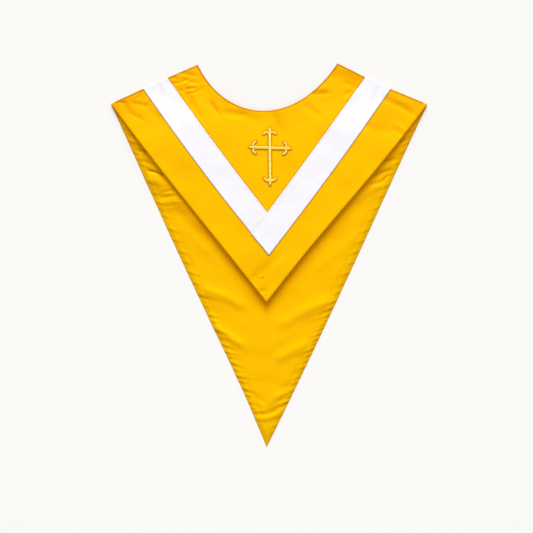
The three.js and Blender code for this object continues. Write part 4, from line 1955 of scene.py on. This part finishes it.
def model_stitch(thread: float, length: float, flatness: float, lifts: dict[float, float]) -> Part:
    """Model one stitch: a thread that arches between its two ends.

    Args:
        thread: The thread's thickness.
        length: The stitch's length.
        flatness: The thread's height, as a share of its thickness.
        lifts: For each ring between the ends, its place along the stitch and how far it is raised.

    Returns:
        The stitch's points and faces.
    """
    bpy.ops.object.select_all(action="DESELECT")
    bpy.ops.mesh.primitive_cylinder_add(
        vertices=6,
        radius=thread / 2,
        depth=length,
        end_fill_type="NGON",
        location=(0.0, 0.0, 0.0),
        rotation=(0.0, math.radians(90.0), 0.0),
    )
    stitch = bpy.context.object
    bpy.ops.object.transform_apply(location=True, rotation=True, scale=True)
    bpy.ops.object.mode_set(mode="EDIT")
    bpy.ops.mesh.select_all(action="SELECT")
    bpy.ops.transform.resize(value=(1.0, 1.0, flatness))
    for place in sorted(lifts):
        bpy.ops.mesh.select_all(action="SELECT")
        bpy.ops.mesh.bisect(plane_co=(place, 0.0, 0.0), plane_no=(1.0, 0.0, 0.0))
    bpy.ops.mesh.select_mode(type="VERT")
    for place, lift in lifts.items():
        bpy.ops.mesh.select_all(action="DESELECT")
        bpy.ops.object.mode_set(mode="OBJECT")
        for vertex in stitch.data.vertices:
            vertex.select = abs(vertex.co.x - place) < 1e-4
        bpy.ops.object.mode_set(mode="EDIT")
        bpy.ops.transform.translate(value=(0.0, 0.0, lift))
    bpy.ops.object.mode_set(mode="OBJECT")
    points = np.array([vertex.co for vertex in stitch.data.vertices])
    faces = [tuple(face.vertices) for face in stitch.data.polygons]
    bpy.data.objects.remove(stitch)
    return points, faces


def join(name: str, parts: list[Part]) -> bpy.types.Object:
    """Make one smooth object from parts in millimetres.

    Args:
        name: The object's name.
        parts: The points and faces of each part.

    Returns:
        The new object.
    """
    places = np.concatenate([points for points, _ in parts])
    faces, start = [], 0
    for points, part in parts:
        faces += [tuple(start + corner for corner in face) for face in part]
        start += len(points)
    mesh = bpy.data.meshes.new(name)
    mesh.from_pydata(places * MM, [], faces)
    mesh.shade_smooth()
    piece = bpy.data.objects.new(name, mesh)
    bpy.context.scene.collection.objects.link(piece)
    return piece


@dataclass
class Cross:
    """The embroidered cross: satin stitches laid side by side over a crowned padding."""

    panels: Panels
    thread: float = 0.42
    flatness: float = 0.6
    pitch: float = 0.35
    slant: float = 12.0
    arch_power: float = 3.0
    slant_change: float = 3.0
    slant_step: float = 1.7
    length_change: float = 0.06
    length_step: float = 2.399
    end_margin: float = 0.15
    look: float = 0.4
    least_crown: float = 0.35
    ring_places: tuple[float, ...] = (0.0, 0.45, 0.75, 0.93)
    core_share: float = 0.8
    core_height: float = 0.8
    core_section: tuple[tuple[float, float], ...] = (
        (-1.0, 0.0),
        (-0.85, 0.6),
        (0.0, 0.8),
        (0.85, 0.6),
        (1.0, 0.0),
    )

    def arch(self, across: Array) -> Array:
        """Height of a stitch over its bar, from 1 in the middle to 0 at the sides."""
        power = self.arch_power
        return np.maximum(0.0, 1.0 - np.clip(np.abs(across), 0.0, 1.0) ** power) ** (1.0 / power)

    def lay_stitches(self, run: StitchedRun, stitch: Part) -> Part:
        """Copy the stitch along a run.

        Args:
            run: The run.
            stitch: The stitch's points and faces.

        Returns:
            The points and faces of all the copies.
        """
        points, faces = stitch
        steps = np.hypot(*np.diff(run.middle, axis=0).T)
        reached = np.concatenate([[0.0], np.cumsum(steps)])
        count = max(4, round(reached[-1] / self.pitch))
        places, made = [], []
        spots = np.linspace(self.end_margin, reached[-1] - self.end_margin, count)
        for i, distance in enumerate(spots):
            middle, ahead, behind = (
                np.array([np.interp(distance + step, reached, run.middle[:, k]) for k in (0, 1)])
                for step in (0.0, self.look, -self.look)
            )
            along = (ahead - behind) / np.hypot(*(ahead - behind))
            across = np.array([along[1], -along[0]])
            uneven = math.sin(i * self.length_step) * self.length_change
            half = float(np.interp(distance, reached, run.half_width)) + uneven
            slant = self.slant + self.slant_change * math.sin(i * self.slant_step)
            slant = math.tan(math.radians(slant))
            sideways = points[:, 0] * half
            forward = points[:, 1] + sideways * slant
            spot = middle + sideways[:, None] * across + forward[:, None] * along
            fullness = half / self.panels.front.cross.bar_half + self.least_crown
            crown = run.crown * min(1.0, fullness)
            arch = self.arch(points[:, 0])
            height = points[:, 2] - arch + arch * (crown - self.thread / 2)
            base = self.panels.front.top(spot[:, 0], spot[:, 1])
            places.append(np.column_stack([spot, base + run.gap + self.thread / 2 + height]))
            made += [tuple(i * len(points) + corner for corner in face) for face in faces]
        return np.concatenate(places), made

    def lay_core(self, run: StitchedRun) -> Part:
        """The padding under a run's stitches, a low crowned strip.

        Args:
            run: The run.

        Returns:
            The padding's points and faces.
        """
        count = max(6, len(run.middle) // 3)
        pick = np.linspace(0, len(run.middle) - 1, count).round().astype(int)
        middle, half = run.middle[pick], run.half_width[pick] * self.core_share
        along = np.gradient(middle, axis=0)
        along /= np.hypot(*along.T)[:, None]
        across = np.stack([along[:, 1], -along[:, 0]], axis=-1)
        rings = []
        for share, lift in self.core_section:
            spot = middle + across * (half * share)[:, None]
            base = self.panels.front.top(spot[:, 0], spot[:, 1])
            raised = lift * run.crown * self.core_height
            rings.append(np.column_stack([spot, base + run.gap + raised]))
        places = np.stack(rings, axis=1).reshape(-1, 3)
        size = len(self.core_section)
        faces = []
        for i in range(len(pick) - 1):
            for k in range(size):
                a, b = i * size + k, i * size + (k + 1) % size
                faces.append((a, b, b + size, a + size))
        faces.append(tuple(range(size - 1, -1, -1)))
        faces.append(tuple(range((len(pick) - 1) * size, len(pick) * size)))
        return places, faces

    def build(self) -> dict[str, bpy.types.Object]:
        """Make the stitches and their padding.

        Returns:
            The stitches and the padding.
        """
        rings = {side * place for place in self.ring_places for side in (-1.0, 1.0)}
        lifts = {place: float(self.arch(np.array(place))) for place in rings}
        # It reaches from -1 to 1, and each copy is stretched to the width of its run.
        stitch = model_stitch(self.thread, 2.0, self.flatness, lifts)
        runs = self.panels.front.cross.runs()
        return {
            "stitches": join("cross_stitches", [self.lay_stitches(run, stitch) for run in runs]),
            "padding": join("cross_padding", [self.lay_core(run) for run in runs]),
        }

    def dress(self, pieces: dict[str, bpy.types.Object]) -> None:
        """Give the cross its thread and its body.

        Args:
            pieces: The stitches and the padding.
        """
        thread = GOLD_THREAD.material()
        for piece in pieces.values():
            piece.data.materials.append(thread)
            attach(piece, "root")
        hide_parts("cross_embroidery")


@dataclass
class Sewing:
    """The sewing that shows: edge stitching on the trim bands, and the closed shoulder seams."""

    bands: TrimBands
    thread: float = 0.34
    flatness: float = 0.8
    length: float = 2.3
    ring_places: tuple[float, ...] = (-0.95, -0.6, 0.6, 0.95)
    arch: float = 0.16
    pitch: float = 3.2
    look: float = 0.2
    inset: float = 1.5
    least_inset: float = 0.93
    clear_of_lap: float = 1.2
    shoulder_pitch: float = 2.6
    shoulder_out: float = 0.72
    shoulder_height: float = 1.35

    def places(self, line: Array, pitch: float) -> tuple[Array, Array]:
        """Even places on a line of points.

        Args:
            line: The line's points.
            pitch: How far apart the places are.

        Returns:
            The places, and the line's direction at each.
        """
        reached = np.concatenate([[0.0], np.cumsum(np.hypot(*np.diff(line, axis=0).T))])
        spots = np.arange(pitch, reached[-1] - pitch / 2, pitch)
        middle, ahead = (
            np.stack([np.interp(spots + step, reached, line[:, k]) for k in (0, 1)], axis=-1)
            for step in (0.0, self.look)
        )
        run = ahead - middle
        return middle, run / np.hypot(*run.T)[:, None]

    def band_lines(self, side: Side, grid: ClothGrid) -> list[Array]:
        """The stitching lines of a band: its sides and its folded end, moved in.

        Args:
            side: The band's side.
            grid: The band's grid.

        Returns:
            The points of each line.
        """
        points = grid.points
        edges = [(points[0], points[1]), (points[-1], points[-2])]
        if side is Side.RIGHT:
            edges.append((points[:, 0], points[:, 1]))
        lines = []
        for edge, within in edges:
            along = np.gradient(edge, axis=0)
            along /= np.hypot(*along.T)[:, None]
            aside = np.stack([-along[:, 1], along[:, 0]], axis=-1)
            turned = np.sign((aside * (within - edge)).sum(axis=1))[:, None]
            lines.append(edge + aside * turned * self.inset)
        return lines

    def sew_band(self, side: Side, grid: ClothGrid, stitch: Part) -> list[Part]:
        """Copy the stitch along a band's sides.

        Args:
            side: The band's side.
            grid: The band's grid.
            stitch: The stitch.

        Returns:
            The copies.
        """
        points, faces = stitch
        ring = grid.flat()[grid.border()]
        parts = []
        for line in self.band_lines(side, grid):
            middle, along = self.places(line, self.pitch)
            keep = ring_distance(middle, ring) > self.inset * self.least_inset
            if side is Side.LEFT:
                keep &= self.bands.past_lap(*middle.T) < -self.clear_of_lap
            for spot, run in zip(middle[keep], along[keep]):
                aside = np.array([-run[1], run[0]])
                flat = spot + points[:, :1] * run + points[:, 1:2] * aside
                base = self.bands.top(side, *flat.T) + self.bands.edge.lift
                parts.append((np.column_stack([flat, base + points[:, 2]]), faces))
        return parts

    def sew_shoulder(self, side: Side, stitch: Part) -> list[Part]:
        """Copy the stitch, stood up, along a shoulder seam.

        Args:
            side: The seam's side.
            stitch: The stitch.

        Returns:
            The copies.
        """
        points, faces = stitch
        line = self.bands.panels.outline.shoulder_line(side, np.linspace(0.0, 1.0, 60))
        middle, along = self.places(line, self.shoulder_pitch)
        parts = []
        for spot, run in zip(middle, along):
            out = np.array([-run[1], run[0]]) * -side.value
            flat = spot + points[:, 1:2] * run + (self.shoulder_out + points[:, 2:]) * out
            parts.append((np.column_stack([flat, self.shoulder_height + points[:, 0]]), faces))
        return parts

    def build(self) -> dict[str, bpy.types.Object]:
        """Make all the stitching.

        Returns:
            The stitching of the left band, the right band and the shoulders.
        """
        lifts = {place: self.arch for place in self.ring_places}
        stitch = model_stitch(self.thread, self.length, self.flatness, lifts)
        names = {Side.LEFT: "left", Side.RIGHT: "right"}
        sewing = {
            names[side]: join(f"band_stitches_{names[side]}", self.sew_band(side, grid, stitch))
            for side, grid in self.bands.grids().items()
        }
        shoulders = [part for side in Side for part in self.sew_shoulder(side, stitch)]
        sewing["shoulders"] = join("shoulder_stitches", shoulders)
        return sewing

    def dress(self, pieces: dict[str, bpy.types.Object]) -> None:
        """Give the stitching its thread and its body.

        Args:
            pieces: The stitching.
        """
        finishes = {
            "left": (WHITE_THREAD, "white_satin"),
            "right": (WHITE_THREAD, "white_satin"),
            "shoulders": (SEAM_THREAD, "gold_satin"),
        }
        for key, piece in pieces.items():
            finish, slot = finishes[key]
            piece.data.materials.append(finish.material())
            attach(piece, "root")


@dataclass
class Studio:
    """A pale floor, soft light from above and the head of the stole, and the camera above."""

    view_width: float = 0.8795
    aim: tuple[float, float] = (-0.0044, -0.0185)
    camera_height: float = 3.2
    aim_height: float = 0.004
    sensor: float = 36.0
    floor_size: float = 12.0
    floor_colour: Colour = (0.79, 0.783, 0.77)
    sky_colour: Colour = (1.0, 0.995, 0.985)
    sky_strength: float = 0.35
    top_light: tuple[float, float, float] = (0.0, 0.2, 3.8)
    top_light_size: float = 1.8
    top_light_power: float = 25.0
    sun_power: float = 6.35
    sun_height: float = 20.5
    sun_width: float = 34.0

    def make_floor(self) -> None:
        """Make the floor that the stole lies on."""
        bpy.ops.object.select_all(action="DESELECT")
        bpy.ops.mesh.primitive_grid_add(
            x_subdivisions=8, y_subdivisions=8, size=self.floor_size, location=(0.0, 0.0, 0.0)
        )
        floor = bpy.context.object
        floor.name = "floor"
        graph = NodeGraph("pale_floor")
        shader = graph.node(
            "ShaderNodeBsdfPrincipled",
            {},
            {
                "Base Color": (*self.floor_colour, 1.0),
                "Roughness": 0.9,
                "Specular IOR Level": 0.1,
            },
            0,
        )
        graph.node("ShaderNodeOutputMaterial", {}, {"Surface": shader})
        floor.data.materials.append(graph.material)

    def make_top_light(self) -> None:
        """Hang a soft light above that shines at the stole."""
        data = bpy.data.lights.new("top_light", "AREA")
        data.shape = "RECTANGLE"
        data.size, data.size_y = self.top_light_size, self.top_light_size
        data.energy = self.top_light_power
        light = bpy.data.objects.new("top_light", data)
        light.location = self.top_light
        aim = Vector((*self.aim, 0.0)) - Vector(self.top_light)
        light.rotation_mode = "QUATERNION"
        light.rotation_quaternion = aim.to_track_quat("-Z", "Y")
        bpy.context.scene.collection.objects.link(light)

    def make_sun(self) -> None:
        """Let wide, even light in from the head of the stole."""
        data = bpy.data.lights.new("head_light", "SUN")
        data.energy = self.sun_power
        data.angle = math.radians(self.sun_width)
        light = bpy.data.objects.new("head_light", data)
        light.rotation_euler = (math.radians(self.sun_height - 90.0), 0.0, 0.0)
        bpy.context.scene.collection.objects.link(light)

    def make_camera(self) -> None:
        """Hang the camera straight above the stole."""
        data = bpy.data.cameras.new("camera")
        data.sensor_width = self.sensor
        data.sensor_fit = "HORIZONTAL"
        distance = self.camera_height - self.aim_height
        data.lens = self.sensor * distance / self.view_width
        data.clip_end = 50.0
        camera = bpy.data.objects.new("camera", data)
        camera.location = (*self.aim, self.camera_height)
        bpy.context.scene.collection.objects.link(camera)
        bpy.context.scene.camera = camera

    def build(self) -> None:
        """Make the whole studio."""
        scene = bpy.context.scene
        scene.view_settings.view_transform = "Standard"
        world = bpy.data.worlds.new("studio_light")
        world.use_nodes = True
        background = world.node_tree.nodes["Background"]
        background.inputs["Color"].default_value = (*self.sky_colour, 1.0)
        background.inputs["Strength"].default_value = self.sky_strength
        scene.world = world
        self.make_floor()
        self.make_sun()
        self.make_top_light()
        self.make_camera()


def report(piece: bpy.types.Object) -> None:
    """Log a piece's name and how many triangles it has.

    Args:
        piece: The piece.
    """
    mesh = piece.data
    mesh.calc_loop_triangles()
    LOG.info("%s: %d triangles", piece.name, len(mesh.loop_triangles))


def main() -> None:
    """Build the studio and the stole's pieces in order."""
    logging.basicConfig(level=logging.INFO, format="%(message)s")
    Studio().build()
    outline = Outline()
    panels = Panels(outline, FrontLie(outline), BackLie(outline))
    bands = TrimBands(panels)
    made = []
    for maker in (panels, bands, Cross(panels), Sewing(bands)):
        pieces = maker.build()
        maker.dress(pieces)
        for piece in pieces.values():
            report(piece)
        made.append(pieces)
    cloths, strips, cross, sewing = made
    panels.declare(cloths, [*cross.values(), sewing["shoulders"]])
    bands.declare(strips, {Side.LEFT: sewing["left"], Side.RIGHT: sewing["right"]})


if __name__ == "__main__":
    main()
